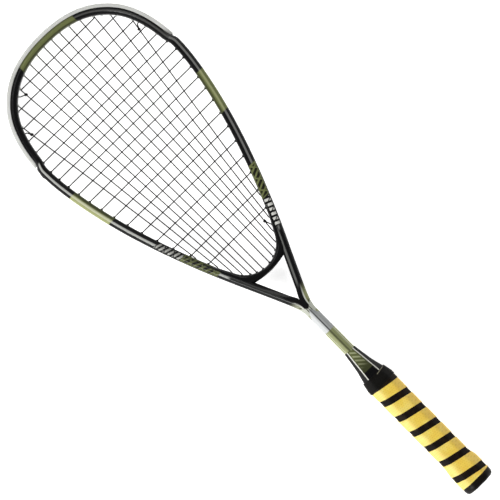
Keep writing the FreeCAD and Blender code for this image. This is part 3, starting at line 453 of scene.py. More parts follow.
def loft_mesh(name, rings):
    """A closed object skinned through rings that have the same number of points."""
    return tidy(new_object(name, *skin(rings)))


def both_sides(corners, radii):
    """Corners given above the middle plane, with their mirror images below it, and all the radii."""
    return corners + [(across, -high) for across, high in reversed(corners)], radii + radii[::-1]


def rounded(corners, radii, steps=5):
    """A closed outline with its corners rounded: corners in order, one radius for each."""
    outline = []
    count = len(corners)
    for index in range(count):
        before, corner, after = (np.array(corners[(index + shift) % count], float)
                                 for shift in (-1, 0, 1))
        back, ahead = before - corner, after - corner
        reach = min(radii[index], 0.49 * np.linalg.norm(back), 0.49 * np.linalg.norm(ahead))
        start, end = corner + unit(back) * reach, corner + unit(ahead) * reach
        for step in range(steps):
            share = step / (steps - 1)
            outline.append((1 - share) ** 2 * start + 2 * share * (1 - share) * corner
                           + share ** 2 * end)
    return np.array(outline)


def swept(path, radius, sides=8):
    """Points and faces of a round cord along a path of 3-D points."""
    path = np.array(path, float)
    ahead = np.gradient(path, axis=0)
    ahead /= np.linalg.norm(ahead, axis=1)[:, None]
    aside = np.cross(ahead, (0.0, 0.0, 1.0))
    aside /= np.linalg.norm(aside, axis=1)[:, None]
    up = np.cross(aside, ahead)
    turns = [2 * math.pi * side / sides for side in range(sides)]
    return skin([[centre + right * radius * math.cos(turn) + over * radius * math.sin(turn)
                  for turn in turns] for centre, right, over in zip(path, aside, up)])


def merged(name, parts):
    """One mesh object from several (points, faces) pairs."""
    points, faces = [], []
    for part_points, part_faces in parts:
        base = len(points)
        points += list(part_points)
        faces += [tuple(index + base for index in face) for face in part_faces]
    return tidy(new_object(name, points, faces))


def mirrored(parts):
    """The same (points, faces) pairs on the left side."""
    return [([(-x, y, z) for x, y, z in points], [face[::-1] for face in faces])
            for points, faces in parts]


def put(item, material, slot, *nodes):
    """Gives a piece its finish, its body and the CAD nodes that it stands for."""
    item.data.materials.clear()
    item.data.materials.append(material)
    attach(item, "root")
    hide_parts(*nodes)


# ------------------------------------------------------------------ frame

CREST = 0.42
OUTER_FLAT = 0.56
INNER_FLAT = 0.50
FORK_RUN = 60.0
FRAME_BOTTOM = FRAME_LOW.y
SHAFT_FLAT = 2.6
CROTCH_FILL = 6.0
CROTCH_LEAD = 4.0
CROTCH_RUN = 26.0
CLOSED_GROOVE = 0.02
TUBE_RADII = [0.3, 0.45, 2.0, 3.6]


def tube_ring(point, normal, start, width, fork, groove):
    """One section of the right-hand tube; fork runs from the shaft, 0, to the head, 1."""
    inner_height = BEAM_HALF * (1 + (INNER_FLAT - 1) * fork)
    crest = SHAFT_HALF - SHAFT_FLAT + (CREST * width - SHAFT_HALF + SHAFT_FLAT) * fork
    half = [(groove, GROOVE_HALF), (0.0, GROOVE_HALF), (0.0, OUTER_FLAT * BEAM_HALF),
            (crest, BEAM_HALF), (width, inner_height)]
    section = rounded(*both_sides(half, TUBE_RADII + [0.4 + 1.8 * fork]), 6)
    ring = on_section(section, point, normal, start)
    return ring, [across / width for across, _ in section]


def on_section(section, point, normal, start):
    """A section's (inwards, high) pairs set out from a point of the outline, kept off the left side."""
    ring = []
    for across, high in section:
        place = point - normal * (start + across)
        ring.append((max(0.0, place[0]), place[1], high))
    return ring


def frame_rings():
    """Sections up the shaft's right half and round the head, and (across, along) for each point."""
    rings, paints = [], []
    for height in np.linspace(FRAME_BOTTOM, HEAD_START, 60)[:-1]:
        ring, paint = tube_ring(np.array((SHAFT_HALF, height)), np.array((1.0, 0.0)), 0.0,
                                SHAFT_HALF, 0.0, CLOSED_GROOVE)
        rings.append(ring)
        paints += [(share, height * MM) for share in paint]
    for run in np.linspace(0, RUN[-1], 300):
        point, normal, start, width = station(run)
        fork = float(smooth(HEAD_START, HEAD_START + FORK_RUN, point[1]))
        along = float(smooth(HEAD_START, HEAD_START + 25, point[1]))
        bare = float(smooth(HEAD_START + CROTCH_LEAD, HEAD_START + CROTCH_RUN, point[1]))
        thick = SHAFT_HALF + (width + CROTCH_FILL * (1 - bare) - SHAFT_HALF) * along
        opened = float(smooth(GROOVE_START - 3, GROOVE_START + 9, point[1]))
        groove = CLOSED_GROOVE + (GROOVE_DEPTH - CLOSED_GROOVE) * opened
        ring, paint = tube_ring(point, normal, start, thick, fork, groove)
        rings.append(ring)
        paints += [(share, (HEAD_START + run) * MM) for share in paint]
    return rings, paints


def make_frame():
    rings, uv = frame_rings()
    points, faces = skin(rings, last=False)
    base = len(points)
    points = points + [(-x, y, z) for x, y, z in points]
    faces = faces + [tuple(index + base for index in reversed(face)) for face in faces]
    faces = [face for face in faces if any(points[index][0] != 0.0 for index in face)]
    return crisp(tidy(new_object("carbon_frame", points, faces, uv + uv)))


# ------------------------------------------------------------------ throat bridge

BRIDGE_HALF_DEPTH = 7.5
BRIDGE_INSET = 0.984  # keeps the bridge's faces just inside those of the solid it stands for
BRIDGE_SEARCH = 470.0
HORN_THICKNESS = 0.6


def bridge_section(across, low, high):
    """A section of the bridge across the racket's depth."""
    half = BRIDGE_HALF_DEPTH
    tall = high - low
    corners = [(high, half * 0.55), (high - 0.22 * tall, half), (low + 0.25 * tall, half),
               (low, half * 0.6)]
    section = rounded(*both_sides(corners, [1.2, 2.2, 2.2, 1.6]), 5)
    return [(across, along, deep * BRIDGE_INSET) for along, deep in section]


def make_bridge():
    """The bridge, with horns that run up the arms to where they meet the tube's middle line."""
    middle = curve_inside(WIDTH / 2)
    line = middle[middle[:, 1] < BRIDGE_SEARCH]

    def arm(across):
        return float(np.interp(across, line[:, 0], line[:, 1]))

    reach = 40.0
    while bridge_top(reach) < arm(reach):
        reach -= 0.1
    while bridge_top(reach) > arm(reach) + HORN_THICKNESS:
        reach += 0.1
    rings = []
    for share in np.linspace(-1, 1, 121):
        across = reach * math.sin(share * math.pi / 2)
        high = bridge_top(across)
        low = min(max(bridge_under(across), arm(abs(across))), high - 0.5)
        rings.append(bridge_section(across, low, high))
    return crisp(loft_mesh("throat_bridge_shell", rings))


# ------------------------------------------------------------------ bumper and grommet strips

CHANNEL_HALF = 2.25
WING = 7.2
BARREL = 1.5
SHARED_BARREL = 2.1
BARREL_SIDES = 14
STRIP_HALF = GROOVE_HALF - 0.1
STRIP_RADII = [0.05, 0.35, 0.35, 0.05]


def bumper_ring(run, fade):
    """A section of the bumper; fade runs from its thin ends, 0, to its full height, 1."""
    point, normal, start, _ = station(run)
    start = start + 0.02
    deep = GROOVE_DEPTH - 0.1
    wing = STRIP_HALF + (WING - STRIP_HALF) * (0.35 + 0.65 * fade)
    half = [(deep, CHANNEL_HALF - 0.35), (deep, STRIP_HALF), (-0.05, STRIP_HALF), (-0.05, wing),
            (-0.7 * start - 0.02, wing), (-start, wing - 0.25 * start - 0.1),
            (-start, CHANNEL_HALF + 0.5), (1.2 - start * 0.25, CHANNEL_HALF)]
    section = rounded(*both_sides(half, [0.1, 0.2, 0.2, 0.3, 1.2, 1.2, 0.5, 0.2]), 4)
    return on_section(section, point, normal, start)


def barrel(item):
    """A grommet barrel round a hole, with its little rim standing off the inner wall."""
    radius, depth = (SHARED_BARREL, 0.0) if item["shared"] else (BARREL, item["level"])
    start = item["mouth"]
    way = unit(item["exit"] - start)
    length = np.linalg.norm(item["exit"] - start)
    profile = [(0.0, 0.62), (0.0, radius - 0.35), (0.12, radius - 0.1), (0.4, radius),
               (1.3, radius), (length - 0.5, radius), (length, radius + 0.2),
               (length, 0.7), (0.9, 0.7)]
    rings = []
    for along, wide in profile:
        ring = []
        for side in range(BARREL_SIDES):
            turn = 2 * math.pi * side / BARREL_SIDES
            place = start + way * along + np.array((way[1], -way[0])) * wide * math.cos(turn)
            ring.append((place[0] * item["side"], place[1], depth + wide * math.sin(turn)))
        rings.append(ring)
    return hoop(rings)


def strip_section(share):
    """A section of the flange that lies in the groove; share narrows it."""
    high = STRIP_HALF * share
    bottom, top = GROOVE_DEPTH, GROOVE_DEPTH - FLANGE
    return rounded([(bottom, high), (top, high), (top, -high), (bottom, -high)], STRIP_RADII, 4)


def in_bumper(item):
    return item["exit"][1] > BUMPER_END


RIGHT_HOLES = TOPS + LOWS[BRIDGE_MAINS:] + [item for number, item in enumerate(CROSSES, 1)
                                            if number not in SHARED]


def make_bumper():
    """The bumper's right half, mirrored, with the faces left on the middle plane taken out."""
    first = run_at(BUMPER_END)
    rings = [bumper_ring(run, float(smooth(0, 14, run - first)))
             for run in np.linspace(first, RUN[-1], 150)]
    right = [skin(rings, last=False)]
    right += [barrel(item) for item in RIGHT_HOLES + [CROSS_TIE] if in_bumper(item)]
    shell = merged("bumper_shell", right + mirrored(right))
    with editing(shell) as work:
        inside = [face for face in work.faces if all(abs(vert.co.x) < 1e-7 for vert in face.verts)]
        bmesh.ops.delete(work, geom=inside, context="FACES_ONLY")
    return crisp(shell)


def make_side_strip(side):
    """One side's strip; the last cross string is tied off through the right-hand one."""
    first, last = run_at(STRIP_START), run_at(BUMPER_END - 0.4)
    rings = []
    for run in np.linspace(first, last, 130):
        point, normal, start, _ = station(run)
        section = strip_section(0.45 + 0.55 * float(smooth(0, 5, run - first)))
        rings.append(on_section(section, point, normal, start))
    parts = [skin(rings)]
    parts += [barrel(item) for item in RIGHT_HOLES + [MAIN_TIE] if not in_bumper(item)]
    if side < 0:
        return crisp(merged("grommet_strip_left_shell", mirrored(parts)))
    return crisp(merged("grommet_strip_right_shell", parts + [barrel(LAST_TIE)]))


def make_bridge_strip():
    edge = LOWS[BRIDGE_MAINS - 1]["exit"][0] + 3.0
    rings = []
    for across in np.linspace(-edge, edge, 41):
        low = bridge_under(across)
        slope = across / math.sqrt(BRIDGE_UNDER ** 2 - across ** 2)
        up = unit((-slope, 1))
        section = strip_section(0.5 + 0.5 * float(smooth(0, 3, edge - abs(across))))
        rings.append([(across + up[0] * deep, low + up[1] * deep, tall) for deep, tall in section])
    holes = [barrel(item) for item in LOWS[:BRIDGE_MAINS]]
    return crisp(merged("bridge_strip_shell", [skin(rings)] + holes + mirrored(holes)))


# ------------------------------------------------------------------ strings

BEND = 1.6
TIE_BEND = 1.8
STUB_BEND = 1.5
STUB = 1.2
OFF_STRIP = 0.64  # how far the string's middle lies above the strip
SPACING = 0.15


def lifted_line(lift):
    """The line at a height above the strip in the groove."""
    return curve_inside(np.full(len(RUN), GROOVE_DEPTH - FLANGE - lift))


def loop_corners(first, second):
    """The outer corners of a string that runs along the groove from one hole to the next."""
    if first["run"] is None or second["run"] is None:
        chord = np.linalg.norm(second["exit"] - first["exit"])
        lift = OFF_STRIP + chord ** 2 / (8 * BRIDGE_UNDER)
        return [item["exit"] + item["axis"] * lift for item in (first, second)]
    start, end = (on_tube(item["run"], GROOVE_DEPTH - FLANGE) for item in (first, second))
    chord = unit(end - start)
    rise = 0.0
    for step in range(13):
        place = on_tube(first["run"] + (second["run"] - first["run"]) * step / 12,
                        GROOVE_DEPTH - FLANGE) - start
        rise = max(rise, abs(place[0] * chord[1] - place[1] * chord[0]))
    square = min(abs(normal[0] * chord[1] - normal[1] * chord[0])
                 for normal in (station(item["run"])[1] for item in (first, second)))
    line = lifted_line((OFF_STRIP + rise) / square)
    corners = []
    for item in (first, second):
        mirror = np.array((item["side"], 1))
        run = crossing(item["bend"] * mirror, item["axis"] * mirror, line)
        at = np.array([np.interp(run, RUN, line[:, axis]) for axis in (0, 1)])
        corners.append(at * mirror)
    return corners


def rounded_route(points, radii, fine=5):
    """A route of straight runs with its corners rounded by arcs."""
    points = [np.array(point, float) for point in points]
    route = [points[0]]
    for before, corner, after, radius in zip(points, points[1:], points[2:], radii):
        back, ahead = unit(before - corner), unit(after - corner)
        turned_by = math.pi - math.acos(max(-1, min(1, back @ ahead)))
        if turned_by < 0.03:
            continue
        reach = radius * math.tan(turned_by / 2)
        centre = corner + unit(back + ahead) * radius / math.cos(turned_by / 2)
        start, end = corner + back * reach, corner + ahead * reach
        for step in range(fine + 1):
            share = step / fine
            arm = (start - centre) * math.sin((1 - share) * turned_by) \
                + (end - centre) * math.sin(share * turned_by)
            route.append(centre + arm / math.sin(turned_by))
    route.append(points[-1])
    return route


def weave_level(own, other):
    """Height of string number own where it meets string number other of the other set."""
    return LEVEL if (own + other) % 2 else -LEVEL


def meeting(number, cross):
    """Where main number, counted outwards from 1 or -1, meets a cross."""
    across, height = main_point(abs(number), cross_place(cross))
    return np.array((math.copysign(across, number), height))


def woven_run(start, end, level, marks):
    """A pass across the bed: marks holds (place, height) of each crossing in order."""
    points = [np.array((*start, level))]
    heights = [(0.0, level)]
    way = end - start
    length = np.linalg.norm(way)
    for place, high in marks:
        heights.append(((place - start) @ way / length, high))
    heights.append((length, level))
    stops, levels = zip(*heights)
    samples = []
    for low, high in zip(stops, stops[1:]):
        samples += list(np.linspace(low, high, 7)[:-1])
    samples.append(length)
    for sample in samples[1:]:
        cell = min(len(stops) - 2, int(np.searchsorted(stops, sample, side="right")) - 1)
        share = (sample - stops[cell]) / (stops[cell + 1] - stops[cell])
        ease = 0.5 - 0.5 * math.cos(math.pi * share)
        points.append(np.array((*(start + way * sample / length),
                                levels[cell] + (levels[cell + 1] - levels[cell]) * ease)))
    return points


def at_bend(item):
    return np.array((*item["bend"], item["level"]))


def round_groove(before, after):
    """The two outer corners between one hole and the next, each at its own string's level."""
    return [np.array((*corner, item["level"])) for corner, item
            in zip(loop_corners(before, after), (before, after))]


def string_path(passes, ties, ends):
    """The whole string: passes holds (start, end, marks) of each run across the bed."""
    path = [np.array(ends[0])]
    before = ties[0]
    for start, end, marks in passes:
        way = unit(end["bend"] - start["bend"])
        away = np.array((*(start["bend"] + way * STUB), start["level"]))
        corners = [path[-1], at_bend(before), *round_groove(before, start), at_bend(start), away]
        path += rounded_route(corners, [TIE_BEND, BEND, BEND, STUB_BEND])[1:]
        path += woven_run(away[:2], end["bend"] - way * STUB, start["level"], marks)[1:]
        before = end
    corners = [path[-1], at_bend(before), *round_groove(before, ties[1]), at_bend(ties[1]),
               np.array(ends[1])]
    path += rounded_route(corners, [TIE_BEND, BEND, BEND, TIE_BEND])[1:]
    return spaced(path)


def spaced(path):
    """Drops points that lie almost on their neighbour."""
    kept = [path[0]]
    for point in path[1:]:
        if np.linalg.norm(point - kept[-1]) > SPACING:
            kept.append(point)
    return kept


MAIN_NUMBERS = [*range(-MAINS_A_SIDE, 0), *range(1, MAINS_A_SIDE + 1)]


def crossings(pairs, sign):
    """Where, and how high, a string meets the other set: pairs holds (place of main, cross)."""
    marks = []
    for place, cross in pairs:
        number = abs(MAIN_NUMBERS[place])
        at = meeting(MAIN_NUMBERS[place], cross)
        within = (abs(at[0]) < CROSSES[cross - 1]["bend"][0] - 1.5
                  and LOWS[number - 1]["bend"][1] + 2 < at[1] < TOPS[number - 1]["bend"][1] - 2)
        if within and SHARED.get(cross) != number:
            marks.append((at, sign * weave_level(place, cross)))
    return marks


def main_passes():
    """Down the first main, up the second and so on, from left to right."""
    passes = []
    for place, number in enumerate(MAIN_NUMBERS):
        top, low = TOPS[abs(number) - 1], LOWS[abs(number) - 1]
        if number < 0:
            top, low = flipped(top), flipped(low)
        marks = crossings([(place, cross) for cross in range(1, CROSS_COUNT + 1)], 1)
        passes.append((low, top, marks[::-1]) if place % 2 else (top, low, marks))
    return passes


def cross_passes():
    """To the right along the first cross, back along the second and so on, from the top down."""
    passes = []
    for cross, right in enumerate(CROSSES, 1):
        marks = crossings([(place, cross) for place in range(len(MAIN_NUMBERS))], -1)
        left = flipped(right)
        passes.append((left, right, marks) if cross % 2 else (right, left, marks[::-1]))
    return passes


MAIN_KNOT = 614.8
FIRST_CROSS_KNOT = 650.2
LAST_CROSS_KNOT = 369.4
KNOT_TURNS = 1.9
KNOT_LENGTH = 2.1
KNOT_RADIUS = 1.24
KNOT_STEPS = 48


def knot_at(number, height):
    """Centre, heading and side of a knot on a main string."""
    side = int(math.copysign(1, number))
    across, height = main_point(abs(number), height)
    return np.array((across * side, height)), unit((main_slope(abs(number)) * side, 1)), side


def tail_end(centre, tie):
    """Where the string that comes back from tie runs into its knot."""
    target = np.array((*centre, tie["level"]))
    return target + unit(at_bend(tie) - target) * 1.3


def knot_part(centre, heading, side):
    """Two turns of string round a main, and a cut tail."""
    aside = np.array((heading[1], -heading[0]))
    path = []
    for step in range(KNOT_STEPS + 1):
        share = step / KNOT_STEPS
        turn = 2 * math.pi * KNOT_TURNS * share
        swell = KNOT_RADIUS + 0.1 * math.sin(3 * turn)
        place = centre + heading * (share - 0.5) * KNOT_LENGTH + aside * swell * math.cos(turn)
        path.append((*place, swell * math.sin(turn) * 0.98))
    tail = [(*(centre + heading * (0.6 + step) + aside * side * (0.9 + 0.12 * step)),
             0.5 + 0.05 * step) for step in np.linspace(0, 1.2, 5)]
    return [swept(path, 0.6), swept(tail, 0.55)]


def make_cord(name, passes, ties, knots):
    """One string from tie to tie, its ends run into its knots."""
    ends = [tail_end(knot[0], tie) for knot, tie in zip(knots, ties)]
    return merged(name, [swept(string_path(passes, ties, ends), STRING_RADIUS, 10)])


def make_knots(name, knots):
    return merged(name, knot_part(*knots[0]) + knot_part(*knots[1]))


def make_strings():
    """The main string, the cross string, the main knots and the cross knots."""
    mains = knot_at(-7, MAIN_KNOT), knot_at(7, MAIN_KNOT)
    crosses = knot_at(-5, FIRST_CROSS_KNOT), knot_at(5, LAST_CROSS_KNOT)
    return (make_cord("main_string_cord", main_passes(), (flipped(MAIN_TIE), MAIN_TIE), mains),
            make_cord("cross_string_cord", cross_passes(), (flipped(CROSS_TIE), LAST_TIE), crosses),
            make_knots("main_knot_coils", mains),
            make_knots("cross_knot_coils", crosses))


# ------------------------------------------------------------------ handle

HANDLE_HALF_X = 15.0
HANDLE_HALF_Z = 13.0
HANDLE_BEVEL = 7.0
SLEEVE_RADIUS = 2.8
# height, half sizes along X and Z, and how far each corner is cut back along X and Z
CONE = [(4.0, 15.0, 13.0, 7.0, 7.0), (165.0, 15.0, 13.0, 7.0, 7.0), (173.0, 12.9, 12.35, 6.0, 6.2),
        (181.0, 10.9, 11.7, 5.2, 5.6), (192.0, 9.1, 11.0, 4.8, 5.1), (204.0, 7.4, 10.35, 4.4, 4.6)]


def octagon(half_x, half_z, cut_x, cut_z, radius, steps=5):
    """A rounded octagon about the axis, as (x, z) pairs."""
    corners = [(half_x, -half_z + cut_z), (half_x, half_z - cut_z), (half_x - cut_x, half_z),
               (-half_x + cut_x, half_z), (-half_x, half_z - cut_z), (-half_x, -half_z + cut_z),
               (-half_x + cut_x, -half_z), (half_x - cut_x, -half_z)]
    return rounded(corners, [radius] * 8, steps)


def grown_octagon(extra, radius=SLEEVE_RADIUS, steps=5):
    """The handle's octagon with its flats moved outwards by extra."""
    cut = HANDLE_BEVEL + 0.6 * extra
    return octagon(HANDLE_HALF_X + extra, HANDLE_HALF_Z + extra, cut, cut, radius, steps)


def across_ring(outline, height):
    return [(x, height, z) for x, z in outline]


def make_core():
    """The core's grip part and its cone, with a softened edge round the top face."""
    table = np.array(CONE)
    top = CONE[-1][0]
    rings = []
    for height in [*np.linspace(CONE[0][0], CONE[1][0], 8), *np.linspace(167, top, 26)]:
        sizes = [np.interp(height, table[:, 0], table[:, column]) for column in range(1, 5)]
        rings.append(across_ring(octagon(*sizes, 1.6), height))
    _, half_x, half_z, cut_x, cut_z = CONE[-1]
    for inset, radius, rise in ((0.35, 1.4, 0.3), (0.6, 1.2, 0.1)):
        outline = octagon(half_x - inset, half_z - inset, cut_x, cut_z, radius)
        rings.append(across_ring(outline, top + rise))
    return flat_facets(crisp(loft_mesh("handle_core_shell", rings), 60))


def cap_ridge(number):
    """One of the little bars on the cap's end face, shorter away from the middle."""
    half = 5.2 - 0.7 * abs(number)
    outline = [(half, 0.0), (half - 0.5, 0.55), (-half + 0.5, 0.55), (-half, 0.0),
               (-half + 0.5, -0.55), (half - 0.5, -0.55)]
    return skin([[(x * (1 - shrink * 0.2), lift, number * 2.4 + z * (1 - shrink)) for x, z in outline]
                 for lift, shrink in ((0.95, 0.0), (0.55, 0.0), (0.4, 0.3))])


def make_cap():
    """The butt cap: a flared lip, a raised rim round its end face and a plain pattern inside it."""
    lip = 3.8
    steps = [(0.9, lip - 7.4), (0.9, lip - 6.8), (0.25, lip - 6.2), (0.0, lip - 5.6), (0.0, lip - 4.4),
             (0.15, lip - 3.4), (0.6, lip - 2.35), (1.3, lip - 1.45), (2.3, lip - 0.75),
             (3.6, lip - 0.25), (5.2, lip), (8.2, lip), (8.8, lip - 0.2),
             (9.0, lip - 0.6), (9.0, 2.25), (12.0, 2.2), (26.0, 2.2), (37.4, 0.6), (38.0, 0.3),
             (38.0, 0.05)]
    rings = [across_ring(grown_octagon(extra, 2.4 + 0.6 * max(0, extra), 6), height)
             for height, extra in steps]
    rings = [across_ring(grown_octagon(-8.5, 1.0, 6), 0.9)] + rings
    cap = loft_mesh("butt_cap_shell", rings)
    pattern = merged("cap_ridges", [cap_ridge(number) for number in range(-2, 3)])
    bpy.context.view_layer.objects.active = cap
    for item in bpy.context.scene.objects:
        item.select_set(item in (cap, pattern))
    bpy.ops.object.join()
    return crisp(tidy(cap))


GRIP_BOTTOM = 9.1
GRIP_TOP = 157.0
GRIP_THICK = 1.2
GRIP_STEP = 2.2  # how much further out the base grip lies where it covers the cap
PITCH = 22.75
BAND_WIDE = 14.9
BAND_PHASE = 15.3
RIBBON_STEPS = 12
TAPE_SLANT = 5.6


def grip_extra(height):
    """How far the outside of the base grip stands off the handle's core."""
    return 0.1 + GRIP_THICK + GRIP_STEP * (1 - float(np.clip((height - 26.0) / 13.0, 0, 1)))


def make_base_grip():
    sections = [(GRIP_BOTTOM, inset, 2.6) for inset in (0.4, 1.0)]
    sections += [(height, 0.0, SLEEVE_RADIUS) for height in np.linspace(9.4, 156.6, 90)]
    sections.append((GRIP_TOP, 0.3, 2.6))
    rings = [across_ring(grown_octagon(grip_extra(height) - inset, radius), height)
             for height, inset, radius in sections]
    return crisp(loft_mesh("base_grip_sleeve", rings), 60)


def perimeter_shares():
    """How far round the handle each point of its octagon lies, from 0 to 1."""
    ring = grown_octagon(1.5, steps=RIBBON_STEPS)
    closed = np.vstack([ring, ring[:1]])
    length = np.r_[0, np.cumsum(np.hypot(*np.diff(closed, axis=0).T))]
    return length / length[-1]


def make_band():
    """The yellow layer: one ribbon wound up the handle, its long edges rolled down."""
    shares = perimeter_shares()[:-1]
    profile = [(0.0, -0.35), (0.0, 0.18), (0.10, 0.40), (0.35, 0.52), (0.8, 0.58), (1.6, 0.58)]
    profile = profile + [(BAND_WIDE / 2, 0.62)] + [(BAND_WIDE - along, lift)
                                                   for along, lift in reversed(profile)]
    across_steps = []
    for (start, low), (end, high) in zip(profile, profile[1:]):
        count = 5 if end - start > 3 else 1
        for step in range(count):
            share = step / count
            across_steps.append((start + (end - start) * share, low + (high - low) * share))
    across_steps.append(profile[-1])
    low_limit, high_limit = GRIP_BOTTOM + 0.05, GRIP_TOP - 0.05
    octagons = {}
    rows = []
    for turn in range(-1, int(GRIP_TOP / PITCH) + 3):
        for index, share in enumerate(shares):
            lead = BAND_PHASE + PITCH * (turn + share)
            if lead + BAND_WIDE < low_limit or lead > high_limit:
                continue
            row = []
            for along, lift in across_steps:
                height = min(high_limit, max(low_limit, lead + along))
                extra = grip_extra(height) + lift
                key = round(extra, 3)
                if key not in octagons:
                    octagons[key] = grown_octagon(extra, steps=RIBBON_STEPS)
                x, z = octagons[key][index]
                row.append((x, height, z))
            rows.append(row)
    return crisp(tidy(new_object("grip_ribbon", *skin(rows)), 0.0000001), 50)


def sleeve_mesh(name, low, high, inside, outside, soft):
    """A thin octagonal sleeve between two heights, its ends rounded by soft."""
    steps = [(low, inside), (low, outside - soft), (low + soft * 0.3, outside - soft * 0.3),
             (low + soft, outside), ((low + high) / 2, outside + 0.03), (high - soft, outside),
             (high - soft * 0.3, outside - soft * 0.3), (high, outside - soft), (high, inside)]
    rings = [across_ring(grown_octagon(extra, steps=6), height) for height, extra in steps]
    return crisp(tidy(new_object(name, *hoop(rings))), 50)


def make_tape_wrap():
    """The finishing tape: its lower edge follows the slant of the winding on the near face."""
    item = sleeve_mesh("finishing_tape_wrap", TAPE_LOW.y, TAPE_HIGH.y, 1.8,
                       TAPE_HIGH.x - HANDLE_HALF_X, 0.15)
    middle = (TAPE_LOW.y + TAPE_HIGH.y) / 2 * MM
    for vertex in item.data.vertices:
        if vertex.co.y < middle - 0.001:
            share = 0.5 - 0.5 * vertex.co.x / (TAPE_HIGH.x * MM)
            vertex.co.y += TAPE_SLANT * MM * share
    return item


def collar_extra(height):
    """How far the collar's outside stands off the core: level over the tape, then drawn in."""
    return float(np.interp(height, [COLLAR_LOW.y, GRIP_TOP, COLLAR_HIGH.y], [2.6, 2.78, 0.64]))


def make_collar():
    """The stretched rubber band over the grip's end: a bead at each edge and shallow ribs between."""
    low, high = COLLAR_LOW.y, COLLAR_HIGH.y
    steps = [(low, -0.5), (low, -0.2), (low + 0.2, 0.1), (low + 0.8, 0.18), (low + 1.4, 0.0)]
    ribs = 6
    pitch = (high - low - 3.4) / ribs
    for number in range(ribs):
        start = low + 1.7 + number * pitch
        steps += [(start + 0.08 * pitch, -0.28), (start + 0.3 * pitch, -0.02),
                  (start + 0.7 * pitch, -0.02), (start + 0.92 * pitch, -0.28)]
    steps += [(high - 1.4, -0.05), (high - 0.8, 0.1), (high - 0.2, 0.0), (high, -0.25), (high, -0.6)]
    rings = [across_ring(grown_octagon(collar_extra(height) + lift, steps=6), height)
             for height, lift in steps]
    return crisp(loft_mesh("grip_collar_band", rings), 50)


# ------------------------------------------------------------------ materials


def linear(red, green, blue):
    """A colour given as on a screen, 0 to 255, as the linear values that shaders use."""
    return tuple(((value / 255 + 0.055) / 1.055) ** 2.4 for value in (red, green, blue)) + (1.0,)


class Field:
    """A number that varies over a surface and can be reckoned with in ordinary Python."""

    def __init__(self, tree, socket):
        self.tree = tree
        self.socket = socket

    def work(self, operation, *others):
        node = self.tree.nodes.new("ShaderNodeMath")
        node.operation = operation
        for place, term in enumerate((self,) + others):
            if isinstance(term, Field):
                self.tree.links.new(term.socket, node.inputs[place])
            else:
                node.inputs[place].default_value = term
        return Field(self.tree, node.outputs[0])

    def __add__(self, other):
        return self.work("ADD", other)

    def __sub__(self, other):
        return self.work("SUBTRACT", other)

    def __mul__(self, other):
        return self.work("MULTIPLY", other)

    def inverted(self):
        return (self * -1.0) + 1.0

    def size(self):
        return self.work("ABSOLUTE")

    def either(self, other):
        return self.work("MAXIMUM", other)

    def part(self):
        return self.work("FRACT")

    def above(self, limit, soft):
        """0 below limit and 1 above it, with a soft edge."""
        node = self.tree.nodes.new("ShaderNodeMapRange")
        node.interpolation_type = "SMOOTHSTEP"
        self.tree.links.new(self.socket, node.inputs["Value"])
        node.inputs["From Min"].default_value = limit - soft
        node.inputs["From Max"].default_value = limit + soft
        return Field(self.tree, node.outputs["Result"])

    def between(self, low, high, soft):
        return self.above(low, soft) * self.above(high, soft).inverted()


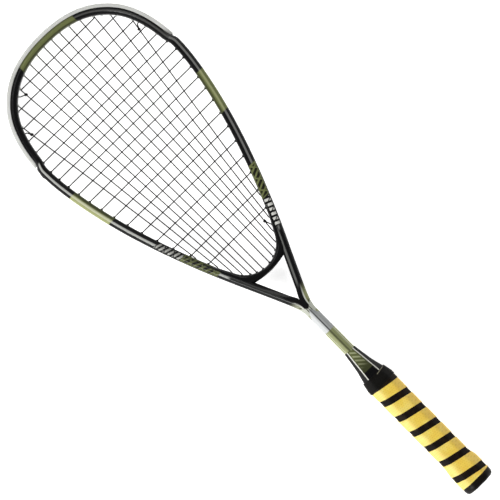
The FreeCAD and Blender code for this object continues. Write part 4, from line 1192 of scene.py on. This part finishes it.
class Paint:
    """A Principled material in the making."""

    def __init__(self, name, base, roughness, **sockets):
        self.material = bpy.data.materials.new(name)
        self.material.use_nodes = True
        self.tree = self.material.node_tree
        self.nodes, self.links = self.tree.nodes, self.tree.links
        self.shader = self.nodes["Principled BSDF"]
        self.colour = None
        self.base = base
        self.shader.inputs["Base Color"].default_value = base
        self.shader.inputs["Roughness"].default_value = roughness
        for socket, value in sockets.items():
            self.shader.inputs[socket.replace("_", " ")].default_value = value
        self.place = self.nodes.new("ShaderNodeTexCoord").outputs["Object"]
        split = self.nodes.new("ShaderNodeSeparateXYZ")
        self.links.new(self.place, split.inputs[0])
        scale = 1 / MM
        self.x, self.y, self.z = (Field(self.tree, split.outputs[axis]) * scale for axis in range(3))

    @property
    def width(self):
        """How far a place lies from the racket's axis, to either side."""
        return self.x.size()

    def across(self):
        """The share of the way across the tube, from its outer wall, kept in the frame's map."""
        node = self.nodes.new("ShaderNodeUVMap")
        node.uv_map = "paint"
        split = self.nodes.new("ShaderNodeSeparateXYZ")
        self.links.new(node.outputs[0], split.inputs[0])
        return Field(self.tree, split.outputs[0])

    def noise(self, scale, detail=3.0, roughness=0.55, stretch=(1, 1, 1)):
        mapping = self.nodes.new("ShaderNodeMapping")
        mapping.inputs["Scale"].default_value = stretch
        self.links.new(self.place, mapping.inputs[0])
        node = self.nodes.new("ShaderNodeTexNoise")
        node.inputs["Scale"].default_value = scale
        node.inputs["Detail"].default_value = detail
        node.inputs["Roughness"].default_value = roughness
        self.links.new(mapping.outputs[0], node.inputs["Vector"])
        return Field(self.tree, node.outputs["Fac"])

    def shared(self, group, **sockets):
        """Puts in one of the shared effects and returns its two outputs."""
        node = self.nodes.new("ShaderNodeGroup")
        node.node_tree = group
        self.links.new(self.place, node.inputs["Place"])
        for socket, value in sockets.items():
            node.inputs[socket].default_value = value
        return [Field(self.tree, output) for output in node.outputs]

    def over(self, colour, mask):
        """Lays a colour over what is there so far, where mask is 1."""
        node = self.nodes.new("ShaderNodeMix")
        node.data_type = "RGBA"
        self.links.new(mask.socket, node.inputs["Factor"])
        if self.colour is None:
            node.inputs["A"].default_value = self.base
        else:
            self.links.new(self.colour, node.inputs["A"])
        node.inputs["B"].default_value = colour
        self.colour = node.outputs["Result"]
        return self

    def bump(self, height, depth, strength=1.0):
        """A raised pattern, depth metres high; a later one builds on an earlier one."""
        node = self.nodes.new("ShaderNodeBump")
        node.inputs["Distance"].default_value = depth
        node.inputs["Strength"].default_value = strength
        self.links.new(height.socket, node.inputs["Height"])
        normal = self.shader.inputs["Normal"]
        if normal.is_linked:
            self.links.new(normal.links[0].from_socket, node.inputs["Normal"])
        self.links.new(node.outputs[0], normal)
        return self

    def vary(self, socket, field, low, high):
        """Makes a shader value run from low to high as field runs from 0 to 1."""
        self.links.new((field * (high - low) + low).socket, self.shader.inputs[socket])
        return self

    def done(self):
        if self.colour is not None:
            self.links.new(self.colour, self.shader.inputs["Base Color"])
        return self.material


def new_group(name, inputs, outputs):
    """An empty shared effect: inputs holds (name, value) pairs and outputs holds names."""
    group = bpy.data.node_groups.new(name, "ShaderNodeTree")
    group.interface.new_socket("Place", in_out="INPUT", socket_type="NodeSocketVector")
    for label, value in inputs:
        socket = group.interface.new_socket(label, in_out="INPUT", socket_type="NodeSocketFloat")
        socket.default_value = value
    for label in outputs:
        group.interface.new_socket(label, in_out="OUTPUT", socket_type="NodeSocketFloat")
    return group, group.nodes.new("NodeGroupInput"), group.nodes.new("NodeGroupOutput")


def make_speckle_group():
    """Fine specks and faint clouds: rubbed places, dust and unevenness."""
    group, given, result = new_group("fine_speckle", [("Scale", 900.0), ("Clouds", 60.0)],
                                     ["Specks", "Clouds"])
    fine = group.nodes.new("ShaderNodeTexNoise")
    fine.inputs["Detail"].default_value = 4.0
    wide = group.nodes.new("ShaderNodeTexNoise")
    wide.inputs["Detail"].default_value = 2.0
    for node, label in ((fine, "Scale"), (wide, "Clouds")):
        group.links.new(given.outputs["Place"], node.inputs["Vector"])
        group.links.new(given.outputs[label], node.inputs["Scale"])
    specks = Field(group, fine.outputs["Fac"]).above(0.62, 0.06)
    group.links.new(specks.socket, result.inputs["Specks"])
    group.links.new(wide.outputs["Fac"], result.inputs["Clouds"])
    return group


def make_weave_group():
    """A slanting two-way weave, as carbon cloth shows under lacquer."""
    group, given, result = new_group("slanted_weave", [("Threads", 700.0)], ["Over", "Shade"])
    split = group.nodes.new("ShaderNodeSeparateXYZ")
    group.links.new(given.outputs["Place"], split.inputs[0])
    threads = Field(group, given.outputs["Threads"])
    x, y = (Field(group, split.outputs[axis]) for axis in (0, 1))
    first = ((x + y) * threads).work("SINE")
    second = ((x - y) * threads).work("SINE")
    over = (first * second).above(0.0, 0.4)
    shade = first.size().either(second.size())
    group.links.new(over.socket, result.inputs["Over"])
    group.links.new(shade.socket, result.inputs["Shade"])
    return group


SPECKLE = make_speckle_group()
WEAVE = make_weave_group()

THREADS = 1500.0
BLACK = linear(10, 10, 11)
OLIVE = linear(112, 118, 74)
OLIVE_PALE = linear(152, 156, 112)
OLIVE_DARK = linear(58, 62, 38)
# Silver of the pinstripe with a painted highlight on it, used on the left-hand side.
SILVER_WITH_HIGHLIGHT = linear(196, 197, 192)
YELLOW = linear(252, 220, 84)
BROWN_BLACK = linear(16, 9, 4)
DUST = linear(120, 120, 118)

FORK_END = 352.0
TIP_OLIVE_HALF = 40.0
CHEEKS = (486.0, 536.0)
LEFT_MARKS = (363.0, 434.0)
RIGHT_MARKS = (356.0, 424.0)


def slanted_marks(paint, across, along, pitch, lean, share):
    """Short slanting marks in a row: a plain decoration."""
    bars = (along * (1 / pitch) + across * lean).part().between(0.08, 0.08 + share, 0.05)
    notches = (along * (1 / (2 * pitch)) - across * lean * 0.7).part().between(0.42, 0.55, 0.04)
    return bars * notches.inverted() * across.between(0.14, 0.86, 0.04)


def make_carbon_paint():
    """Black lacquer with the frame's olive panels, stripes, slanting marks and shaft panels, with
    painted highlights and painted shade laid over the stripes, arms, neck and shaft panels.
    """
    paint = Paint("carbon_paint", BLACK, 0.34, Specular_IOR_Level=0.12, Coat_Weight=0.14,
                  Coat_Roughness=0.08)
    across = paint.across()
    right = paint.x.above(0.0, 0.4)
    left = right.inverted()
    head = paint.y.above(FORK_END, 4.0)
    weave, _ = paint.shared(WEAVE, Threads=THREADS)
    specks, clouds = paint.shared(SPECKLE, Scale=1600.0, Clouds=35.0)
    paint.over(linear(34, 34, 36), weave * 0.25)

    tip = paint.y.above(600.0, 1.0) * paint.width.above(TIP_OLIVE_HALF, 0.8).inverted()
    cheeks = paint.y.between(*CHEEKS, 0.8) * paint.width.above(50.0, 1.0)
    olive = tip.either(cheeks)
    paint.over(OLIVE, olive)
    paint.over(OLIVE_DARK, olive * across.between(0.72, 1.02, 0.03) * 0.8)

    stripe = across.between(0.33, 0.56, 0.03)
    rails = paint.y.between(FORK_END, BUMPER_END, 2.0)
    clear_left = (paint.y.between(*LEFT_MARKS, 1.0) * left).inverted()
    clear_right = (paint.y.between(*RIGHT_MARKS, 1.0) * right).inverted()
    plain = rails * clear_left * clear_right * stripe
    # The pinstripe is silver paint with painted light on it: brighter on the left as a painted
    # highlight, mid grey on the right as painted shade.
    paint.over(SILVER_WITH_HIGHLIGHT, plain * left * 0.95)
    paint.over(linear(112, 112, 110), plain * right)
    # Painted highlight on the outer part of the left olive panels. Inside the olive panels the pinstripe
    # is a pale lit copy on the left and an olive copy in painted shade on the right.
    paint.over(linear(176, 180, 128), cheeks * left * across.above(0.62, 0.04).inverted() * 0.75)
    paint.over(linear(210, 212, 178), plain * cheeks * left)
    paint.over(OLIVE_PALE, plain * cheeks * right)
    # Painted highlight: a grey line along the right-hand tube above the bumper's end.
    beyond = paint.y.above(BUMPER_END, 1.0) * tip.inverted()
    paint.over(linear(92, 92, 90), stripe * right * beyond * 0.7)

    left_silver = slanted_marks(paint, across, paint.y, 5.2, 0.7, 0.5)
    right_white = slanted_marks(paint, across, paint.y, 5.0, -0.8, 0.56)
    olive_marks = slanted_marks(paint, across, paint.y, 6.4, 0.9, 0.6)
    paint.over(linear(176, 176, 170), left_silver * left * paint.y.between(404.0, 434.0, 0.6))
    paint.over(linear(214, 214, 208), right_white * right * paint.y.between(356.0, 386.5, 0.6))
    broad = across.between(0.08, 0.95, 0.03)
    paint.over(OLIVE, broad * left * paint.y.between(363.0, 404.0, 0.6) * 0.8)
    paint.over(OLIVE, broad * right * paint.y.between(388.0, 424.0, 0.6))
    paint.over(linear(30, 30, 20), olive_marks * paint.y.between(366.0, 422.0, 0.6)
               * (left * paint.y.above(402.0, 0.6).inverted()).either(right * paint.y.above(389.0, 0.6)))

    # Painted highlights along the arms: a grey line on the right arm and a fainter one on the left arm.
    arms = paint.y.between(296.0, FORK_END, 6.0)
    paint.over(linear(104, 105, 102), arms * right * across.between(0.56, 0.78, 0.04))
    paint.over(linear(58, 59, 57), arms * left * across.between(0.40, 0.58, 0.05) * 0.8)

    start_right = paint.y.above(288.0, 8.0).inverted() * right
    start_left = paint.y.above(279.0, 8.0).inverted() * left
    neck = paint.y.above(258.0, 0.8) * start_right.either(start_left)
    outer = across.above(0.40, 0.03).inverted()
    paint.over(OLIVE_PALE, neck * outer)
    # Painted highlight: the left side of the neck's pale olive is lighter.
    paint.over(linear(206, 208, 196), neck * left * outer * 0.5)
    paint.over(linear(70, 76, 52), neck * across.between(0.12, 0.3, 0.05)
               * paint.y.between(262.0, 276.0, 2.0))
    line = across.between(0.36, 0.5, 0.03) * paint.y.above(256.0, 1.0)
    paint.over(linear(214, 216, 206), line * start_right.either(start_left))
    below = (paint.y - paint.width * 0.8).above(268.0, 0.8).inverted()
    wedge = below * paint.y.above(262.0, 1.0)
    paint.over(linear(196, 199, 186), wedge)
    paint.over(linear(70, 72, 62), wedge * paint.width.between(1.6, 2.6, 0.3))

    vee = paint.y + paint.width * 1.7
    shaft = paint.y.between(235.0, 270.0, 0.6) * vee.above(268.0, 0.5).inverted()
    centre = paint.width.above(0.8, 0.4).inverted()
    # The shaft's silver panel as lit and shaded copies: mid grey on the right as painted shade, near
    # white on the left as a painted highlight.
    paint.over(linear(168, 170, 170), shaft * right)
    paint.over(linear(216, 218, 218), shaft * left)
    paint.over(linear(60, 60, 60), shaft * centre * 0.9)
    # Darker streaks over the right half of the shaft panel.
    right_streaks = paint.noise(120.0, 3.0, 0.6, (1.0, 0.2, 1.0)).above(0.55, 0.08)
    paint.over(linear(120, 122, 122), shaft * right_streaks * right * 0.5)
    lower = paint.y.between(204.0, 235.0, 0.6)
    paint.over(linear(160, 165, 120), lower)
    paint.over(OLIVE_DARK, lower * paint.width.above(1.2, 0.6).inverted() * 0.75)
    # Painted shade: the olive panel is darker just right of its middle line.
    paint.over(OLIVE, lower * paint.x.between(1.2, 3.2, 0.4) * 0.5)
    paint.over(linear(198, 200, 176), lower * paint.width.between(4.6, 5.5, 0.2) * 0.8)

    paint.over(DUST, specks * 0.05)
    paint.vary("Roughness", clouds, 0.26, 0.42)
    paint.bump(weave, 0.000012, 0.35)
    paint.bump(paint.noise(260.0, 2.0), 0.00003, 0.2)
    return paint.done()


def make_bridge_paint():
    paint = Paint("bridge_paint", BLACK, 0.3, Specular_IOR_Level=0.12, Coat_Weight=0.14,
                  Coat_Roughness=0.08)
    weave, _ = paint.shared(WEAVE, Threads=THREADS)
    specks, clouds = paint.shared(SPECKLE, Scale=1500.0, Clouds=50.0)
    paint.over(linear(26, 26, 28), weave * 0.25)
    paint.over(linear(110, 110, 108), specks * 0.05)
    paint.vary("Roughness", clouds, 0.24, 0.4)
    return paint.bump(weave, 0.000012, 0.3).done()


def make_core_paint():
    """The painted cone above the grip: an olive field, silver lines on the bevels, black sides."""
    paint = Paint("cone_paint", BLACK, 0.32, Specular_IOR_Level=0.12, Coat_Weight=0.12,
                  Coat_Roughness=0.1)
    specks, clouds = paint.shared(SPECKLE, Scale=1400.0, Clouds=60.0)
    taper = (paint.y - 204.0) * -1.0
    half = taper * 0.105 + 3.4
    edge = paint.width - half
    above = paint.y.between(176.0, 204.5, 1.2)
    field = edge.above(0.0, 0.25).inverted() * above
    paint.over(OLIVE, field * 0.75)
    marks = ((paint.y * (1 / 5.5) + paint.x * 0.16).part().between(0.2, 0.6, 0.1)
             * edge.above(-1.2, 0.2).inverted())
    paint.over(linear(172, 177, 136), field * marks * paint.y.above(182.0, 3.0) * 0.9)
    paint.over(linear(26, 28, 18), field * paint.y.above(188.0, 12.0).inverted() * 0.7)
    lines = edge.between(0.2, 1.3, 0.15) * paint.y.above(167.2, 0.5)
    paint.over(linear(224, 224, 214), lines)
    paint.over(DUST, specks * 0.05)
    paint.vary("Roughness", clouds, 0.24, 0.4)
    return paint.bump(paint.noise(300.0, 2.0), 0.00003, 0.25).done()


def make_bumper_plastic():
    paint = Paint("bumper_plastic", linear(232, 233, 229), 0.42, Subsurface_Weight=0.2,
                  Transmission_Weight=0.15, IOR=1.45)
    paint.shader.inputs["Subsurface Radius"].default_value = (0.004, 0.004, 0.0035)
    specks, clouds = paint.shared(SPECKLE, Scale=700.0, Clouds=45.0)
    paint.over(linear(204, 205, 198), clouds.above(0.55, 0.2) * 0.5)
    scuff = paint.noise(420.0, 5.0, 0.65, (1.0, 1.0, 0.15)).above(0.64, 0.05)
    scuff = scuff * paint.y.above(650.0, 20.0)
    paint.over(linear(150, 150, 144), scuff * 0.4)
    paint.vary("Roughness", scuff, 0.4, 0.75)
    return paint.bump(paint.noise(500.0, 4.0), 0.00006, 0.35).done()


def make_grommet_plastic():
    paint = Paint("grommet_plastic", linear(20, 20, 21), 0.45, Specular_IOR_Level=0.3)
    specks, clouds = paint.shared(SPECKLE, Scale=1200.0, Clouds=80.0)
    paint.over(linear(70, 70, 70), specks * 0.2)
    paint.vary("Roughness", clouds, 0.38, 0.55)
    return paint.bump(paint.noise(800.0, 3.0), 0.00003, 0.3).done()


def make_string_gut():
    paint = Paint("string_gut", linear(22, 19, 21), 0.38, Specular_IOR_Level=0.2)
    specks, clouds = paint.shared(SPECKLE, Scale=2400.0, Clouds=120.0)
    paint.over(linear(60, 57, 62), specks * 0.25)
    twist = ((paint.x + paint.y + paint.z) * 1.6).work("SINE").above(0.2, 0.7)
    paint.over(linear(12, 11, 13), twist * 0.4)
    paint.vary("Roughness", clouds, 0.25, 0.42)
    return paint.bump(twist, 0.00003, 0.4).done()


def dimples(paint, pitch):
    """Rows of small pressed holes over the handle."""
    row = paint.y * (1 / pitch)
    shift = row.work("FLOOR") * 0.5
    around = (paint.x + paint.z * 0.6) * (1 / pitch) + shift
    off_row = (row.part() - 0.5) * 2.0
    off_around = (around.part() - 0.5) * 2.0
    near = (off_row * off_row + off_around * off_around).work("SQRT")
    return near.above(0.42, 0.12).inverted()


def make_grip_yellow():
    paint = Paint("grip_yellow", YELLOW, 0.62, Subsurface_Weight=0.12, Sheen_Weight=0.25)
    paint.shader.inputs["Subsurface Radius"].default_value = (0.003, 0.002, 0.0008)
    specks, clouds = paint.shared(SPECKLE, Scale=900.0, Clouds=90.0)
    paint.over(linear(240, 196, 60), clouds.above(0.55, 0.12) * 0.45)
    paint.over(linear(254, 236, 140), clouds.above(0.42, 0.1).inverted() * 0.4)
    # Painted highlight: the left side of the band is paler; the right side gets a deeper yellow as
    # painted shade.
    paint.over(linear(254, 238, 150), paint.x.above(-7.0, 6.0).inverted() * 0.5)
    paint.over(linear(252, 208, 92), paint.x.above(7.0, 6.0) * 0.5)
    pits = dimples(paint, 2.6)
    # Painted shade: the pressed holes are a darker yellow.
    paint.over(linear(216, 172, 44), pits * 0.35)
    paint.over(linear(150, 120, 50), specks * 0.1)
    paint.bump(pits.inverted(), 0.0002, 0.5)
    return paint.bump(paint.noise(1400.0, 4.0), 0.00005, 0.5).done()


def make_grip_base():
    paint = Paint("grip_base", BROWN_BLACK, 0.6, Specular_IOR_Level=0.1)
    specks, clouds = paint.shared(SPECKLE, Scale=1100.0, Clouds=140.0)
    paint.over(linear(42, 30, 16), clouds.above(0.55, 0.1) * 0.4)
    paint.over(linear(70, 58, 40), specks * 0.15)
    _, weave = paint.shared(WEAVE, Threads=2600.0)
    paint.bump(weave, 0.00008, 0.5)
    return paint.bump(paint.noise(1200.0, 4.0), 0.00006, 0.4).done()


def make_cap_plastic():
    paint = Paint("cap_plastic", linear(16, 12, 9), 0.42, Specular_IOR_Level=0.14)
    specks, clouds = paint.shared(SPECKLE, Scale=800.0, Clouds=60.0)
    paint.over(linear(54, 46, 38), specks * 0.25)
    scuffed = paint.noise(240.0, 5.0, 0.7).above(0.62, 0.05) * paint.y.above(1.2, 0.8).inverted()
    paint.over(linear(80, 76, 70), scuffed * 0.35)
    paint.vary("Roughness", clouds, 0.34, 0.55)
    return paint.bump(paint.noise(900.0, 5.0), 0.00007, 0.5).done()


def make_collar_rubber():
    paint = Paint("collar_rubber", linear(13, 12, 9), 0.55, Specular_IOR_Level=0.1)
    specks, clouds = paint.shared(SPECKLE, Scale=1300.0, Clouds=110.0)
    paint.over(linear(60, 58, 50), specks * 0.25)
    edge = (paint.y - paint.x * 0.16).between(COLLAR_HIGH.y - 2.6, COLLAR_HIGH.y - 1.6, 0.2)
    paint.over(linear(120, 116, 100), edge * paint.x.between(3.0, 14.0, 0.6))
    paint.vary("Roughness", clouds, 0.45, 0.65)
    return paint.bump(paint.noise(1000.0, 4.0), 0.00005, 0.5).done()


def make_tape():
    paint = Paint("finishing_tape", linear(20, 14, 8), 0.45, Specular_IOR_Level=0.12)
    specks, clouds = paint.shared(SPECKLE, Scale=900.0, Clouds=100.0)
    paint.over(linear(64, 54, 40), specks * 0.3)
    fibres = paint.noise(900.0, 4.0, 0.6, (0.08, 1.0, 0.08))
    paint.over(linear(50, 40, 28), fibres.above(0.52, 0.08) * 0.5)
    return paint.bump(fibres, 0.00008, 0.5).done()


def make_steel():
    paint = Paint("staple_steel", linear(178, 178, 176), 0.3, Metallic=1.0)
    specks, clouds = paint.shared(SPECKLE, Scale=1800.0, Clouds=200.0)
    paint.over(linear(120, 108, 92), specks * 0.4)
    paint.vary("Roughness", clouds, 0.22, 0.45)
    return paint.bump(paint.noise(900.0, 3.0, 0.6, (1.0, 0.2, 1.0)), 0.00003, 0.4).done()


def make_foam():
    paint = Paint("plug_foam", linear(206, 196, 160), 0.85)
    cells = paint.noise(1500.0, 5.0, 0.7)
    paint.over(linear(160, 146, 104), cells.above(0.55, 0.08) * 0.6)
    return paint.bump(cells, 0.0002, 0.8).done()


# ------------------------------------------------------------------ putting it together


def dress_node(node, material):
    """Gives a CAD node that stays in sight a worked-out material."""
    item = frame["nodes"][node]
    item.data.materials.clear()
    item.data.materials.append(material)


def build():
    """Every piece with its material and the CAD node that it stands for."""
    grommet = make_grommet_plastic()
    gut = make_string_gut()
    put(make_frame(), make_carbon_paint(), "carbon_frame", "frame")
    put(make_bridge(), make_bridge_paint(), "carbon_frame", "throat_bridge")
    put(make_bumper(), make_bumper_plastic(), "bumper", "bumper_guard")
    put(make_side_strip(1), grommet, "grommet", "side_grommet_strip_right")
    put(make_side_strip(-1), grommet, "grommet", "side_grommet_strip_left")
    put(make_bridge_strip(), grommet, "grommet", "bridge_grommet_strip")
    mains, crosses, main_knots, cross_knots = make_strings()
    put(mains, gut, "string", "main_string")
    put(crosses, gut, "string", "cross_string")
    put(main_knots, gut, "string", "main_string_knots")
    put(cross_knots, gut, "string", "cross_string_knots")
    put(make_core(), make_core_paint(), "handle_foam", "handle_core")
    put(make_cap(), make_cap_plastic(), "cap_plastic", "butt_cap")
    put(make_base_grip(), make_grip_base(), "grip_base", "base_grip")
    put(make_band(), make_grip_yellow(), "grip_yellow", "grip_band")
    put(make_tape_wrap(), make_tape(), "finishing_tape", "finishing_tape")
    put(make_collar(), make_collar_rubber(), "collar_rubber", "grip_collar")
    dress_node("butt_cap_staples", make_steel())
    dress_node("shaft_plugs", make_foam())


# ------------------------------------------------------------------ studio


FLOOR_HALF = 4.0
CAMERA_DISTANCE = 3.03


def make_floor():
    """A white floor just under the racket."""
    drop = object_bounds()[0][2] - 0.0005
    mesh = bpy.data.meshes.new("studio_floor")
    half = FLOOR_HALF
    mesh.from_pydata([(-half, -half, drop), (half, -half, drop), (half, half, drop),
                      (-half, half, drop)], [], [(0, 1, 2, 3)])
    floor = bpy.data.objects.new("studio_floor", mesh)
    bpy.context.scene.collection.objects.link(floor)
    paint = Paint("floor_white", linear(250, 250, 248), 0.9)
    paint.over(linear(246, 246, 246), paint.noise(3.0, 2.0).above(0.5, 0.2) * 0.3)
    paint.shader.inputs["Emission Color"].default_value = (1.0, 1.0, 1.0, 1.0)
    paint.shader.inputs["Emission Strength"].default_value = 0.8
    mesh.materials.append(paint.done())


def add_area(name, place, aim, size, power):
    light = bpy.data.lights.new(name, "AREA")
    light.shape = "DISK"
    light.size = size
    light.energy = power
    item = bpy.data.objects.new(name, light)
    item.location = place
    item.rotation_euler = (Vector(aim) - Vector(place)).to_track_quat("-Z", "Y").to_euler()
    bpy.context.scene.collection.objects.link(item)


def add_camera():
    """Looks straight down on the face, with the butt at the lower right."""
    aim = Vector((-0.0007, 0.3582, 0.0))
    right = Vector((0.7127, -0.7015, 0.0)).normalized()
    up = Vector((0.7015, 0.7127, 0.0)).normalized()
    away = right.cross(up)
    camera = bpy.data.cameras.new("studio_camera")
    camera.lens = 200.0
    camera.sensor_width = 36.0
    item = bpy.data.objects.new("studio_camera", camera)
    item.matrix_world = Matrix((right, up, away)).transposed().to_4x4()
    item.location = aim + away * CAMERA_DISTANCE
    bpy.context.scene.collection.objects.link(item)
    bpy.context.scene.camera = item


def light_studio():
    world = bpy.data.worlds.new("studio_world")
    bpy.context.scene.world = world
    world.use_nodes = True
    backdrop = world.node_tree.nodes["Background"]
    backdrop.inputs["Color"].default_value = (1.0, 1.0, 1.0, 1.0)
    backdrop.inputs["Strength"].default_value = 0.14
    middle = (0.0, 0.34, 0.0)
    add_area("key_light", (-2.0, -0.5, 1.5), middle, 1.2, 52)
    add_area("fill_light", (1.9, 1.4, 1.5), middle, 1.6, 22)
    add_area("top_light", (-0.6, 1.9, 1.7), middle, 1.4, 14)


build()
make_floor()
light_studio()
add_camera()
bpy.context.scene.view_settings.view_transform = "Standard"
